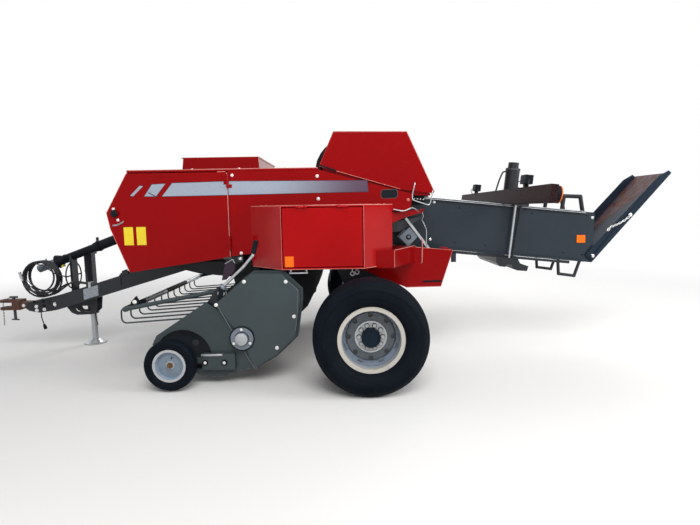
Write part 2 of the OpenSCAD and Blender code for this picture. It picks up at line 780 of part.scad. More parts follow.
// Hub tubes that carry the pickup, each with its outer flange and domed cap
module hub_caps() {
    color(STEEL) from_axle() both_sides() {
        difference() {
            rod_y(hub_x, hub_z, hub_r - seat_gap, wall_out, shield_out);
            rod_y(hub_x, hub_z, 30 + bearing_fit, wall_out - 1, wall_out + 30);
        }
        rod_y(hub_x, hub_z, 84, shield_out, shield_out + 8);
        rod_y(hub_x, hub_z, 45, shield_out + 8, shield_out + 30);
        for (a = [90, 210, 330]) rod_y(hub_x + 66 * cos(a), hub_z + 66 * sin(a), 9, shield_out + 8, shield_out + 16);
    }
}

// Hand lever beside the left end of the windguard, on its bracket
module lift_lever() {
    color(STEEL) from_axle() mirror([0, 1, 0]) {
        slab([[-1015, wall_edge(-1015)], [-1015, 690], [-1070, 690], [-1070, wall_edge(-1070)]], wall_in, wall_out);
        rod_y(-1045, 665, 24, wall_out - 1, wall_out + 34);
        path = [[-1045, 665], [-1037, 708], [-881, 852], [-813, 930], [-788, 1029]];
        for (i = [0:3]) bar([path[i][0], wall_out + 20, path[i][1]], [path[i + 1][0], wall_out + 20, path[i + 1][1]], 22);
        for (i = [1:3]) translate([path[i][0], wall_out + 20, path[i][1]]) sphere(d = 24);
        bar([-806, wall_out + 20, 957.7], [-788, wall_out + 20, 1029], 34);
    }
}

yoke_pivot = [312, 1020];

// Needle yoke under the chamber with its bearings, links and gussets
module needle_drive() {
    color(STEEL) from_axle() {
        both_sides() {
            rod_y(yoke_pivot[0], yoke_pivot[1], 20, plate_out, 436);
            slab([[312, 960], [372, 1020], [312, 1080], [252, 1020]], 405, 430);
            slab([[290, 1040], [334, 1040], [545, 790], [545, 740], [500, 740], [500, 765]], 290, 310);
            // Gusset on the chamber's side
            block(200, 280, plate_out, 406, 1060, 1072);
            slab([[196, 1130], [480, 1180], [280, 1060], [196, 1050]], 405, 415);
        }
        rod_y(522, 765, 16, -300, 300);
        // Curved needles about the yoke's pivot
        for (y = twine_y) slab(concat(
            arc(yoke_pivot[0], yoke_pivot[1], 344, -48, -80, 8), [[334, 684]],
            arc(yoke_pivot[0], yoke_pivot[1], 318, -84, -48, 8)), y - 18, y - 6);
    }
}

clamp_u = -690;
clamp_h = 80;

// Bent tube loops over the top rails and under the side plates near the chute
module rail_loops() {
    top = [[-290, chamber_h - 20], [-288, chamber_h + 118], [-148, chamber_h + 126], [-105, chamber_h - 20]];
    low = [[-294, 20], [-268, -123], [-132, -128], [-100, 20]];
    both_sides() difference() {
        union() {
            for (loop = [[top, 180, 34], [low, plate_out - 6, 26]]) {
                way = [for (p = loop[0]) [p[0], loop[1], p[1]]];
                for (i = [0:2]) bar(way[i], way[i + 1], loop[2]);
                for (i = [1:2]) translate(way[i]) sphere(d = loop[2] + 2);
            }
        }
        translate([-400, 0, 0]) cube([400, 400, chamber_h]);
    }
}

// Clamp frame round the chamber that squeezes the bales
module density_frame() {
    color(BLACK) from_axle() at_chamber() {
        translate([clamp_u - 70, -300, chamber_h]) cube([140, 600, clamp_h]);
        translate([clamp_u, 300, 0]) rotate([90, 0, 0]) linear_extrude(600)
            polygon([[-150, -20], [-142, -70], [-110, -98], [-62, -100], [-45, -75], [-8, -75], [0, -108],
                [40, -120], [125, -118], [132, -76], [60, -58], [34, -20]]);
        both_sides() bar([clamp_u + 10, 285, chamber_h + 10], [clamp_u - 10, 285, -40], 20);
        rail_loops();
    }
}

// Upright cylinder that loads the clamp frame
module density_cylinder() {
    color(BLACK) from_axle() at_chamber() translate([clamp_u, 0, chamber_h + clamp_h]) {
        cylinder(r = 60, h = 250);
        translate([0, 0, 249]) cylinder(r = 45, h = 50);
    }
}

light_u = -834;
light_t = 50;
light_h = 120;
light_reach = 1200;
lamp_y = light_reach - 75;

// Channel across the chamber for the lamps, open to the rear between its ends
module light_bar() {
    color(BLACK) from_axle() at_chamber() difference() {
        translate([light_u, -light_reach, chamber_h]) cube([light_t, 2 * light_reach, light_h]);
        translate([light_u + 8, 150 - light_reach, chamber_h + 8])
            cube([light_t, 2 * light_reach - 300, light_h - 16]);
    }
}

// Housings of the tail lamps at the channel's ends, and the work lamps on top of it
module lamp_housings() {
    color(BLACK) from_axle() at_chamber() both_sides() {
        translate([light_u + light_t, lamp_y, chamber_h + light_h / 2]) rotate([0, 90, 0])
            cylinder(r = 58, h = 34);
        translate([light_u + 10, 675, chamber_h + light_h]) cube([30, 30, 26]);
        translate([light_u - 5, 640, chamber_h + light_h + 25]) cube([60, 100, 66]);
    }
}

// Lenses of the tail lamps
module lamps() {
    color("#7a1512") from_axle() at_chamber() both_sides()
        translate([light_u + light_t + 34, lamp_y, chamber_h + light_h / 2]) rotate([0, 90, 0])
            cylinder(r = 52, h = 10);
}

// Amber reflectors at the chamber's rear
module reflectors() {
    color("#f08010") from_axle() both_sides() block(1770, 1880, plate_out, plate_out + 5, 970, 1040);
}

// Amber reflector on a twine box's lid
module lid_reflector() {
    color("#f08010") from_axle() block(-587, -526, twine_out, twine_out + 5, lid_z[0] + 2, lid_z[0] + 77);
}
module lid_reflector_left() {
    mirror([0, 1, 0]) lid_reflector();
}
module lid_reflector_right() {
    lid_reflector();
}

// Bale chute, folded up about its pivots at the chamber's rear end
module chute() {
    flange = plate_out + chute_gap;
    color(SLATE) from_axle() translate([chute_pivot[0], 0, chute_pivot[1]]) rotate([0, -chute_fold, 0]) {
        block(26, chute_len, -flange - chute_sheet, flange + chute_sheet, chute_floor, chute_floor + chute_sheet);
        both_sides() difference() {
            slab([[-30, chute_floor], [chute_len, chute_floor], [chute_len, -5], [852, 27], [0, 50], [-28, 40]],
                flange, flange + chute_sheet);
            rod_y(0, 0, 12 + bearing_fit, 0, 2000);
        }
    }
}

// Side sheet of the pickup with its wheel arch, round lug and gauge wheel bracket
module pickup_side() {
    arch = [-1340, 200];
    color(CHARCOAL) from_axle() {
        difference() {
            union() {
                slab([[-1558, 299], [-1525, 365], [-1160, 602], [-1115, 569], [-1067, 546], [-960, 420],
                    [-850, 300], [-850, 120], [-1104, 51], [-1233, 72], [-1300, 120]], sheet_in, sheet_out);
                rod_y(hub_x, hub_z, 105, sheet_in, sheet_out);
            }
            intersection() {
                rod_y(arch[0], arch[1], 205, 0, 2000);
                block(-1600, -1000, 0, 2000, 118, 500);
            }
            rod_y(hub_x, hub_z, hub_r - seat_gap + bearing_fit, 0, 2000);
        }
        // Gauge wheel bracket and its stub axle
        block(-1190, -960, sheet_out - 1, sheet_out + 40, 120, 235);
        beam([-1389, sheet_out + 25, 188], [-1150, sheet_out + 25, 188], 20, 40);
        rod_y(-gauge_ahead, gauge_d / 2 + gauge_lift, 12, sheet_out + 25, gauge_track / 2 + 30);
    }
}
module pickup_left() {
    mirror([0, 1, 0]) pickup_side();
}
module pickup_right() {
    pickup_side();
}

end_in = 900;
end_out = 908;

// Cross tube, end plates with the reel's bearings, and the windguard's lugs
module pickup_frame() {
    color(BLACK) from_axle() {
        rod_y(-1080, 96, 32, -end_in - 1, end_in + 1);
        both_sides() difference() {
            union() {
                slab([[-1530, 300], [-1500, 368], [-1165, 588], [-1085, 704], [-1045, 694], [-1045, 660],
                    [-1090, 560], [-1090, 420], [-1030, 215], [-1030, 80], [-1110, 62], [-1233, 90], [-1480, 130]],
                    end_in, end_out);
                rod_y(reel_x, reel_z, 42, end_in - 7, end_out);
                rod_y(guard_pivot[0], guard_pivot[1], 12, 846, end_in + 1);
                for (p = [[-1190, 500], [-1476, 366], [-1110, 105]]) rod_y(p[0], p[1], 10, end_out - 1, sheet_in);
            }
            rod_y(reel_x, reel_z, 24 + bearing_fit, 0, 2000);
        }
    }
}

// Curved bands that the tines run between, joined by the bar at their rear ends
module strippers() {
    last = tine_count / 2 - 1;
    color(CHARCOAL) from_axle() {
        for (i = [-last : last]) {
            y = i * tine_pitch - stripper_w / 2;
            difference() {
                union() {
                    rod_y(reel_x, reel_z, stripper_r, y, y + stripper_w);
                    slab([[reel_x, reel_z + stripper_r], [-1060, 405], [-1042, 400], [-1036, 190], [-1056, 180],
                        [-1066, 300], [reel_x, reel_z]], y, y + stripper_w);
                }
                rod_y(reel_x, reel_z, stripper_r - 5, y - 1, y + stripper_w + 1);
            }
        }
        rod_y(-1046, 190, 9, -end_in, end_in);
    }
}

// Reel with its tine bars and tines
module reel() {
    bar_r = 105;
    color(STEEL) from_axle() translate([reel_x, 0, reel_z]) {
        rod_y(0, 0, 24, -end_out + 1, end_out - 1);
        for (y = [-870, 0, 870]) rod_y(0, 0, bar_r + 12, y - 3, y + 3);
        for (k = [0 : bar_count - 1]) rotate([0, k * 360 / bar_count + 20, 0]) {
            rod_y(bar_r, 0, 13, -880, 880);
            for (i = [0 : tine_count - 1])
                translate([bar_r, (i - (tine_count - 1) / 2) * tine_pitch, 0]) rotate([0, 90, 0])
                    cylinder(d = tine_d, h = tine_tip_r - bar_r);
        }
    }
}

// Floating guard whose rods hold the crop down on the pickup
module windguard() {
    arm_y = 872;
    run = (guard_pivot - guard_bar) / norm(guard_pivot - guard_bar);
    front = guard_bar - 8 * run;
    rear = guard_pivot - 17 * run;
    color(CHARCOAL) from_axle() {
        rod_y(guard_bar[0], guard_bar[1], guard_tube_d / 2, -arm_y - 12, arm_y + 12);
        both_sides() {
            bar([front[0], arm_y, front[1]], [rear[0], arm_y, rear[1]], guard_tube_d - 8);
            difference() {
                rod_y(guard_pivot[0], guard_pivot[1], 24, arm_y - 15, arm_y + 15);
                rod_y(guard_pivot[0], guard_pivot[1], 12 + bearing_fit, 0, 2000);
            }
        }
        // Rods from the bar's front round to the rear
        for (i = [0:11]) translate([guard_bar[0], (i - 5.5) * 150, guard_bar[1]]) rotate([90, 0, 0])
            rotate([0, 0, 180]) translate([guard_tube_d / 2 - 0.5, 0, 0])
                bent_rod(guard_rod_d, [[2.5, 90, 36], [42, 93.6, 36], [640, 0, 0]]);
    }
}

// Solid of a tyre about Z, from its bead to its crown
module tyre(d, w, bead_r, flange_r, bead_w, shoulder) {
    r = d / 2;
    half = [
        [bead_r, bead_w / 2], [flange_r + 2, bead_w / 2], [flange_r + (r - flange_r) * 0.12, bead_w * 0.25 + w * 0.25],
        [flange_r + (r - flange_r) * 0.3, w / 2 - 3],
        [flange_r + (r - flange_r) * 0.45, w / 2],
        each [for (a = [75 : -15 : 0]) [r - shoulder * 1.2 + shoulder * cos(a), w / 2 - shoulder + shoulder * sin(a)]],
        [r - shoulder * 0.05, w * 0.22], [r, 0]
    ];
    lower = [for (i = [len(half) - 2 : -1 : 0]) [half[i][0], -half[i][1]]];
    rotate_extrude() polygon(concat(half, lower));
}

module wheel_at(x, y, z) {
    translate([x, y, z]) rotate([y < 0 ? 90 : -90, 0, 0]) children();
}

module main_tyre(side) {
    color(BLACK) from_axle() wheel_at(0, side * wheel_track / 2, axle_z)
        tyre(tyre_d, tyre_w, rim_d / 2 - 19, rim_d / 2, 248, 45);
}
module tyre_left() {
    main_tyre(-1);
}
module tyre_right() {
    main_tyre(1);
}

// Steel rim, dished disc with hand holes, nuts and hub
module main_rim(side) {
    seat_r = rim_d / 2 - 19 - seat_gap;
    disc_z = 133 - rim_dish;
    color("#c4c8cc") from_axle() wheel_at(0, side * wheel_track / 2, axle_z) {
        difference() {
            union() {
                rotate_extrude() polygon([
                    [seat_r, -125], [rim_d / 2, -125], [rim_d / 2, -133], [seat_r - 8, -133], [seat_r - 8, disc_z - 30],
                    [158, disc_z - 8], [50, disc_z - 8], [50, disc_z], [160, disc_z], [seat_r - 8, disc_z - 18],
                    [seat_r - 8, 133], [rim_d / 2, 133], [rim_d / 2, 125], [seat_r, 125]
                ]);
                translate([0, 0, disc_z - 90]) cylinder(r = 62, h = 150);
                translate([0, 0, disc_z]) cylinder(r = 106, h = 10);
                for (k = [0:9]) rotate([0, 0, 36 * k]) translate([80, 0, disc_z + 9]) cylinder(r = 13, h = 17, $fn = 6);
            }
            for (k = [0:7]) rotate([0, 0, 45 * k]) translate([150, 0, -40]) cylinder(r = 17, h = 90);
            translate([0, 0, -200]) cylinder(r = spindle_d / 2 + bearing_fit, h = 245);
        }
    }
}
module rim_left() {
    main_rim(-1);
}
module rim_right() {
    main_rim(1);
}

module gauge_tyre(side) {
    color(BLACK) from_axle() wheel_at(-gauge_ahead, side * gauge_track / 2, gauge_d / 2 + gauge_lift)
        tyre(gauge_d, gauge_w, 105, 115, 58, 20);
}
module gauge_tyre_left() {
    gauge_tyre(-1);
}
module gauge_tyre_right() {
    gauge_tyre(1);
}

// Pressed gauge wheel rim on its bearing
module gauge_rim(side) {
    color("#d0d3d6") from_axle() wheel_at(-gauge_ahead, side * gauge_track / 2, gauge_d / 2 + gauge_lift) {
        difference() {
            union() {
                rotate_extrude() polygon([
                    [105 - seat_gap, -30], [115, -30], [115, -36], [98, -36], [98, -6], [40, 0], [12, 0], [12, 8], [44, 8],
                    [98, 4], [98, 36], [115, 36], [115, 30], [105 - seat_gap, 30]
                ]);
                translate([0, 0, -34]) cylinder(r = 26, h = 50);
            }
            translate([0, 0, -50]) cylinder(r = 12 + bearing_fit, h = 100);
        }
    }
}
module gauge_rim_left() {
    gauge_rim(-1);
}
module gauge_rim_right() {
    gauge_rim(1);
}

main_frame();
axle();
drawbar();
hitch();
jack();
jack_leg();
gearbox();
pto_guard();
pto_cradle();
pto_shaft();
flywheel();
hood_top();
side_left();
side_right();
door_left();
door_right();
knotter_cover();
knotter_fan();
knotters();
twine_box_left();
twine_box_right();
twine_lid_left();
twine_lid_right();
lower_guards();
plunger_case();
chamber_left();
chamber_right();
chamber_rails();
feed_duct();
feed_trough();
feed_auger();
shield_left();
shield_right();
hub_caps();
lift_lever();
needle_drive();
density_frame();
density_cylinder();
light_bar();
lamp_housings();
lamps();
reflectors();
lid_reflector_left();
lid_reflector_right();
chute();
pickup_left();
pickup_right();
pickup_frame();
strippers();
reel();
windguard();
gauge_tyre_left();
gauge_tyre_right();
gauge_rim_left();
gauge_rim_right();
tyre_left();
tyre_right();
rim_left();
rim_right();
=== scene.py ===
"""Looks of a towed square baler, built round its construction model.

Places along X are measured from the main axle and heights from the ground, in metres,
with Y to the machine's right-hand side, as in the part's source.
"""
import json
import logging
import math
from dataclasses import dataclass
from enum import Enum

import bmesh
import bpy
from mathutils import Matrix, Vector


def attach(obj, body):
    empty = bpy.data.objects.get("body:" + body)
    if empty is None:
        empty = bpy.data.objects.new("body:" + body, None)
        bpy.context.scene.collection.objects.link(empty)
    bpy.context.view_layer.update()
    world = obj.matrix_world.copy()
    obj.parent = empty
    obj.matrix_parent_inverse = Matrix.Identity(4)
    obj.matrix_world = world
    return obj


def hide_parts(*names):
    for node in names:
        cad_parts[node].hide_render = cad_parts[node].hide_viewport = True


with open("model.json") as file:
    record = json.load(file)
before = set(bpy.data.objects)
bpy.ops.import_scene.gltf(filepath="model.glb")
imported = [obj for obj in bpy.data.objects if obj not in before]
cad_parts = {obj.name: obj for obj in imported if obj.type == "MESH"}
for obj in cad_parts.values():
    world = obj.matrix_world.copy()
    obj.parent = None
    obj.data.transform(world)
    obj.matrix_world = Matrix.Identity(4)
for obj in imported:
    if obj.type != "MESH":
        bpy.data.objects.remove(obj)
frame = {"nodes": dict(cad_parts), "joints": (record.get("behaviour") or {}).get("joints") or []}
log = logging.getLogger("baler")

AXLE = next(j for j in frame["joints"] if j["name"] == "wheel_left_spin")["pos_m"]
UP = Vector((0, 0, 1))
# Points nearer than this are one point.
NEAR = 1e-6

Colour = tuple[float, float, float]
Point2 = tuple[float, float]
Point3 = tuple[float, float, float]
Outline = tuple[Point2, ...]
Path = tuple[Point3, ...]


def place(x: float, y: float, z: float) -> Vector:
    """Turn a place from the axle, the middle and the ground into one in the part's own frame."""
    return Vector((AXLE[0] + x, y, z))


class Side(Enum):
    """The machine's two sides, as the sign of Y."""

    LEFT = -1
    RIGHT = 1

    @property
    def word(self) -> str:
        """The side's name as nodes and bodies have it."""
        return self.name.lower()

    @property
    def out(self) -> Vector:
        """The direction away from the machine's middle."""
        return Vector((0, self.value, 0))

    def own(self, name: str) -> str:
        """Give the name that a piece, node or body has on this side."""
        return f"{name}_{self.word}"

    def body(self, name: str) -> str:
        """Give a body's full name; only the doors are a pair."""
        return self.own(name) if name == "door" else name


def on(side: Side, *points: Point3) -> list[Vector]:
    """Give places on either side that are written for the right-hand side, from the axle."""
    return [place(x, side.value * y, z) for x, y, z in points]


def rounded(path: list[Vector], radius: float, steps: int = 4) -> list[Vector]:
    """Round the corners of a path.

    Args:
        path: Its corners.
        radius: How far from each corner the bend starts.
        steps: Divisions of a bend.

    Returns:
        The path with its bends.
    """
    made = [path[0]]
    for before, corner, after in zip(path, path[1:], path[2:]):
        start = corner + (before - corner).normalized() * min(radius, (before - corner).length * 0.49)
        end = corner + (after - corner).normalized() * min(radius, (after - corner).length * 0.49)
        for t in (k / steps for k in range(steps + 1)):
            made.append(start * (1 - t) ** 2 + corner * 2 * t * (1 - t) + end * t * t)
    made.append(path[-1])
    return made


def eased(path: list[Vector], steps: int = 6) -> list[Vector]:
    """Run a smooth curve through places.

    Args:
        path: The places.
        steps: Divisions between two of them.

    Returns:
        Points of the curve.
    """
    ends = [path[0] * 2 - path[1], *path, path[-1] * 2 - path[-2]]
    made = []
    for a, b, c, d in zip(ends, ends[1:], ends[2:], ends[3:]):
        for t in (k / steps for k in range(steps)):
            bend = (2 * a - 5 * b + 4 * c - d) * t * t + (3 * b - a - 3 * c + d) * t ** 3
            made.append(b + 0.5 * ((c - a) * t + bend))
    made.append(path[-1])
    return made


class Wire:
    """One output of a material's nodes, on which sums are written in plain Python."""

    def __init__(self, owner: "Tree", socket: bpy.types.NodeSocket) -> None:
        """Hold the socket and the tree that it is in."""
        self.owner = owner
        self.socket = socket

    def __add__(self, other: "Wire | float") -> "Wire":
        """Add a value."""
        return self.owner.math("ADD", self, other)

    __radd__ = __add__

    def __sub__(self, other: "Wire | float") -> "Wire":
        """Take a value away."""
        return self.owner.math("SUBTRACT", self, other)

    def __rsub__(self, other: float) -> "Wire":
        """Take this away from a number."""
        return self.owner.math("SUBTRACT", other, self)

    def __mul__(self, other: "Wire | float") -> "Wire":
        """Multiply by a value."""
        return self.owner.math("MULTIPLY", self, other)

    __rmul__ = __mul__

    def smooth(self, low: float, high: float) -> "Wire":
        """Rise smoothly from 0 at low to 1 at high."""
        return self.owner.node("ShaderNodeMapRange", {"interpolation_type": "SMOOTHSTEP"},
                               {"Value": self, "From Min": low, "From Max": high})


class Tree:
    """A tree of shader nodes."""

    def __init__(self, tree: bpy.types.NodeTree) -> None:
        """Hold the tree."""
        self.tree = tree

    def link(self, wire: Wire, socket: bpy.types.NodeSocket) -> None:
        """Lead a wire to an input."""
        self.tree.links.new(wire.socket, socket)

    def node(self, kind: str, settings: dict | None = None, sockets: dict | None = None,
             output: int | str = 0) -> Wire:
        """Add a node of any type.

        Args:
            kind: The node's type.
            settings: Its settings by name.
            sockets: Values or wires for its inputs, by name or number.
            output: Which output to give back.

        Returns:
            The chosen output.
        """
        made = self.tree.nodes.new(kind)
        for key, value in (settings or {}).items():
            setattr(made, key, value)
        for key, value in (sockets or {}).items():
            if isinstance(value, Wire):
                self.link(value, made.inputs[key])
            else:
                made.inputs[key].default_value = value
        return Wire(self, made.outputs[output])

    def math(self, operation: str, first: Wire | float, second: Wire | float) -> Wire:
        """Add one Math node."""
        return self.node("ShaderNodeMath", {"operation": operation}, {0: first, 1: second})


class Surface(Tree):
    """A material's node tree with its main shader."""

    def __init__(self, name: str) -> None:
        """Make an empty material of that name.

        Args:
            name: The material's name.
        """
        self.material = bpy.data.materials.new(name)
        self.material.use_nodes = True
        super().__init__(self.material.node_tree)
        self.shader = self.tree.nodes["Principled BSDF"]

    def where(self) -> Wire:
        """The place on the piece, which moves with it."""
        return self.node("ShaderNodeTexCoord", output="Object")

    def axis(self, name: str, of: Wire | None = None) -> Wire:
        """One coordinate of a vector, or of the place itself if it is left out."""
        return self.node("ShaderNodeSeparateXYZ", {}, {0: of or self.where()}, output=name)

    def stretched(self, scale: Colour) -> Wire:
        """The place, scaled along each axis."""
        return self.node("ShaderNodeMapping", {}, {"Vector": self.where(), "Scale": scale})

    def noise(self, scale: float, detail: float = 3.0, rough: float = 0.55, at: Wire | None = None) -> Wire:
        """Soft noise about 0.5, with so many patches per metre, at the place if none is given."""
        return self.node("ShaderNodeTexNoise", {}, {
            "Vector": at or self.where(), "Scale": scale, "Detail": detail, "Roughness": rough})

    def mix(self, factor: Wire | float, first: Wire | Colour, second: Wire | Colour) -> Wire:
        """Blend two colours, of which a factor of 0 gives the first and 1 the second."""
        ready = [c if isinstance(c, Wire) else (*c, 1.0) for c in (first, second)]
        return self.node("ShaderNodeMix", {"data_type": "RGBA", "clamp_factor": True},
                         {0: factor, 6: ready[0], 7: ready[1]}, output=2)

    def dust(self, amount: float, height: float = 1.3) -> Wire:
        """How much dust lies on the surface: more low down and on what faces up.

        Args:
            amount: Overall strength.
            height: Height at which the low dust has gone.

        Returns:
            A factor from 0 to 1.
        """
        low = 1 - self.axis("Z").smooth(0.0, height)
        up = self.axis("Z", self.node("ShaderNodeTexCoord", output="Normal")).smooth(0.3, 1.0)
        return (low * 0.7 + up * 0.6 + 0.1) * self.noise(7.0, 5.0, 0.65).smooth(0.3, 0.8) * amount

    def put(self, **values: Wire | float | Colour) -> None:
        """Set or link the shader's inputs.

        Args:
            values: A wire or constant for each input, whose name has underscores for its spaces.
        """
        for key, value in values.items():
            socket = self.shader.inputs[key.replace("_", " ")]
            if isinstance(value, Wire):
                self.link(value, socket)
            else:
                socket.default_value = (*value, 1.0) if isinstance(value, tuple) else value

    def bump(self, height: Wire, distance: float, strength: float = 1.0) -> None:
        """Roughen the surface by a height, over that distance in metres."""
        wire = self.node("ShaderNodeBump", {}, {
            "Strength": strength, "Distance": distance, "Height": height}, output="Normal")
        self.put(Normal=wire)

    def across(self, centre: Vector, axis: str) -> Wire:
        """How far a place is from a line along one axis.

        Args:
            centre: A point of the line.
            axis: X, Y or Z.

        Returns:
            The distance in metres.
        """
        flat = self.node("ShaderNodeVectorMath", {"operation": "SUBTRACT"}, {0: self.where(), 1: centre})
        keep = [0.0 if name == axis else 1.0 for name in "XYZ"]
        flat = self.node("ShaderNodeVectorMath", {"operation": "MULTIPLY"}, {0: flat, 1: keep})
        return self.node("ShaderNodeVectorMath", {"operation": "LENGTH"}, {0: flat}, output="Value")


DUST: Colour = (0.3, 0.26, 0.2)


@dataclass(frozen=True)
class Paint:
    """Sprayed paint on steel, with faint patches, fine scratches and dust."""

    name: str
    slot: str
    colour: Colour
    patch: Colour
    roughness: float = 0.25
    coat: float = 0.3
    dust: float = 0.05
    patch_scale: float = 1.6
    specular: float = 0.25
    tint: Colour = (1.0, 1.0, 1.0)
    peel: float = 0.0002

    def build(self) -> bpy.types.Material:
        """Make the material.

        Returns:
            The material.
        """
        s = Surface(self.name)
        base = s.mix(s.noise(self.patch_scale, 4.0).smooth(0.35, 0.7), self.colour, self.patch)
        scratch = s.noise(60.0, 2.0, 0.5, s.stretched((0.25, 1.0, 3.0))).smooth(0.7, 0.76)
        dusty = s.dust(self.dust)
        s.put(Base_Color=s.mix(dusty, s.mix(scratch * 0.06, base, DUST), DUST),
              Roughness=self.roughness + dusty * 0.5 + s.noise(25.0, 3.0) * 0.1 - 0.05,
              Coat_Weight=self.coat * (1 - dusty), Coat_Roughness=0.06,
              Specular_IOR_Level=self.specular, Specular_Tint=self.tint)
        s.bump(s.noise(240.0, 2.0), self.peel, 0.3)
        return s.material


@dataclass(frozen=True)
class WornPaint:
    """Dark paint that sliding bales have rubbed through to bright and rusty steel."""

    name: str
    slot: str
    colour: Colour
    rust: Colour
    steel: Colour
    low: float
    span: float

    def build(self) -> bpy.types.Material:
        """Make the material.

        Returns:
            The material.
        """
        s = Surface(self.name)
        streak = s.noise(9.0, 6.0, 0.65, s.stretched((0.8, 3.5, 0.8)))
        inside = 1 - s.math("ABSOLUTE", s.axis("Y"), 0.0).smooth(0.215, 0.25)
        high = (s.axis("Z") - self.low) * (0.45 / self.span)
        worn = inside * (s.axis("Y") + high - 0.2).smooth(-0.04, 0.1) * streak.smooth(0.3, 0.5)
        bare = worn * s.noise(30.0, 4.0, 0.6, s.stretched((0.6, 4.0, 0.6))).smooth(0.45, 0.6)
        metal = s.mix(bare, self.rust, self.steel)
        darker = tuple(0.8 * c for c in self.colour)
        paint = s.mix(s.noise(4.0, 4.0).smooth(0.3, 0.7), self.colour, darker)
        s.put(Base_Color=s.mix(worn, paint, metal), Roughness=0.5 + worn * 0.15 + s.noise(40.0, 3.0) * 0.1,
              Metallic=bare * 0.3, Specular_IOR_Level=0.07)
        s.bump(s.noise(90.0, 4.0), 0.0006, 0.5)
        return s.material


@dataclass(frozen=True)
class Metal:
    """Zinc-plated, bare or cast metal with grime and a little rust."""

    name: str
    slot: str
    colour: Colour
    stain: Colour
    roughness: float = 0.35
    stained: float = 0.35
    metallic: float = 0.9
    grain: float = 0.0004

    def build(self) -> bpy.types.Material:
        """Make the material.

        Returns:
            The material.
        """
        s = Surface(self.name)
        mask = s.noise(14.0, 6.0, 0.7).smooth(0.42, 0.75) * self.stained
        spots = s.noise(70.0, 3.0, 0.6).smooth(0.62, 0.78) * self.stained
        both = s.math("MAXIMUM", mask, spots)
        s.put(Base_Color=s.mix(both, self.colour, self.stain),
              Roughness=self.roughness + both * 0.4 + s.noise(50.0, 3.0) * 0.1 - 0.05,
              Metallic=self.metallic * (1 - both * 0.8))
        s.bump(s.noise(160.0, 4.0), self.grain, 0.5)
        return s.material


@dataclass(frozen=True)
class Moulded:
    """Moulded plastic or rubber with a fine grain and dust in its hollows."""

    name: str
    slot: str
    colour: Colour
    roughness: float = 0.55
    dust: float = 0.06
    specular: float = 0.3
    grain_scale: float = 300.0
    grain: float = 0.0004

    def build(self) -> bpy.types.Material:
        """Make the material.

        Returns:
            The material.
        """
        s = Surface(self.name)
        dusty = s.dust(self.dust, 0.9)
        lighter = tuple(1.25 * c + 0.001 for c in self.colour)
        shade = s.mix(s.noise(6.0, 4.0).smooth(0.3, 0.75), self.colour, lighter)
        s.put(Base_Color=s.mix(dusty, shade, DUST), Specular_IOR_Level=self.specular,
              Roughness=self.roughness + s.noise(30.0, 3.0) * 0.16 - 0.08)
        s.bump(s.noise(self.grain_scale, 3.0), self.grain, 0.5)
        return s.material


@dataclass(frozen=True)
class Rim:
    """Wheel rim whose lip, barrel, disc and hub ring are painted in steps of grey; the barrel's bluish grey,
    and the gauge wheel's bluish disc, are painted sky reflection.
    """

    name: str
    slot: str
    centre: Point3
    disc: Colour
    disc_from: float
    disc_to: float
    depth: float
    lip: Colour = (0.5, 0.47, 0.42)
    # Bluish grey: painted sky reflection.
    barrel: Colour = (0.33, 0.38, 0.45)
    ring: Colour = (0.4, 0.41, 0.41)

    def build(self) -> bpy.types.Material:
        """Make the material.

        Returns:
            The material.
        """
        s = Surface(self.name)
        middle = place(*self.centre)
        r = s.across(middle, "Y")
        out = s.math("ABSOLUTE", s.axis("Y"), 0.0) - abs(self.centre[1])
        spots = s.noise(45.0, 5.0, 0.65).smooth(0.5, 0.72)
        disc = s.mix(spots * 0.5, self.disc, tuple(0.5 * c for c in self.disc))
        inner = s.mix(r.smooth(self.disc_from - 0.002, self.disc_from), self.ring, disc)
        wall = s.mix(r.smooth(self.disc_to - 0.004, self.disc_to + 0.004), inner, self.barrel)
        face = s.mix(out.smooth(self.depth - 0.003, self.depth), wall, self.lip)
        grime = s.noise(12.0, 5.0, 0.65).smooth(0.5, 0.8) * 0.35
        s.put(Base_Color=s.mix(grime, face, (0.1, 0.09, 0.08)), Roughness=0.36 + grime * 0.5,
              Metallic=0.2 - grime * 0.5)
        s.bump(s.noise(150.0, 3.0), 0.0003, 0.4)
        return s.material


@dataclass(frozen=True)
class Stripe:
    """Foil stripe whose colour runs from silver to purple along the machine."""

    name: str
    slot: str
    colour: Colour
    far: Colour
    start: float
    end: float

    def build(self) -> bpy.types.Material:
        """Make the material.

        Returns:
            The material.
        """
        s = Surface(self.name)
        along = s.axis("X").smooth(AXLE[0] + self.start, AXLE[0] + self.end)
        grain = s.noise(180.0, 2.0, 0.5, s.stretched((0.3, 1.0, 1.0))) * 0.25
        s.put(Base_Color=s.mix(along, s.mix(grain, self.colour, self.far), self.far),
              Roughness=0.3 + s.noise(20.0) * 0.1, Metallic=0.35, Coat_Weight=0.5)
        return s.material


@dataclass(frozen=True)
class Lens:
    """Moulded lens or reflector with a fine prism pattern, which glows faintly though no lamp is lit in it:
    painted light.
    """

    name: str
    slot: str
    colour: Colour
    painted_glow: float = 0.15

    def build(self) -> bpy.types.Material:
        """Make the material.

        Returns:
            The material.
        """
        s = Surface(self.name)
        prism = s.node("ShaderNodeTexVoronoi", {}, {"Vector": s.where(), "Scale": 220.0})
        s.put(Base_Color=s.mix(prism * 0.5, self.colour, tuple(0.5 * c for c in self.colour)),
              Emission_Color=s.mix(prism * 0.4, self.colour, tuple(0.6 * c for c in self.colour)),
              Roughness=0.15 + prism * 0.1, Emission_Strength=self.painted_glow, Coat_Weight=0.15,
              Specular_IOR_Level=0.2)
        s.bump(prism, 0.0008, 0.6)
        return s.material


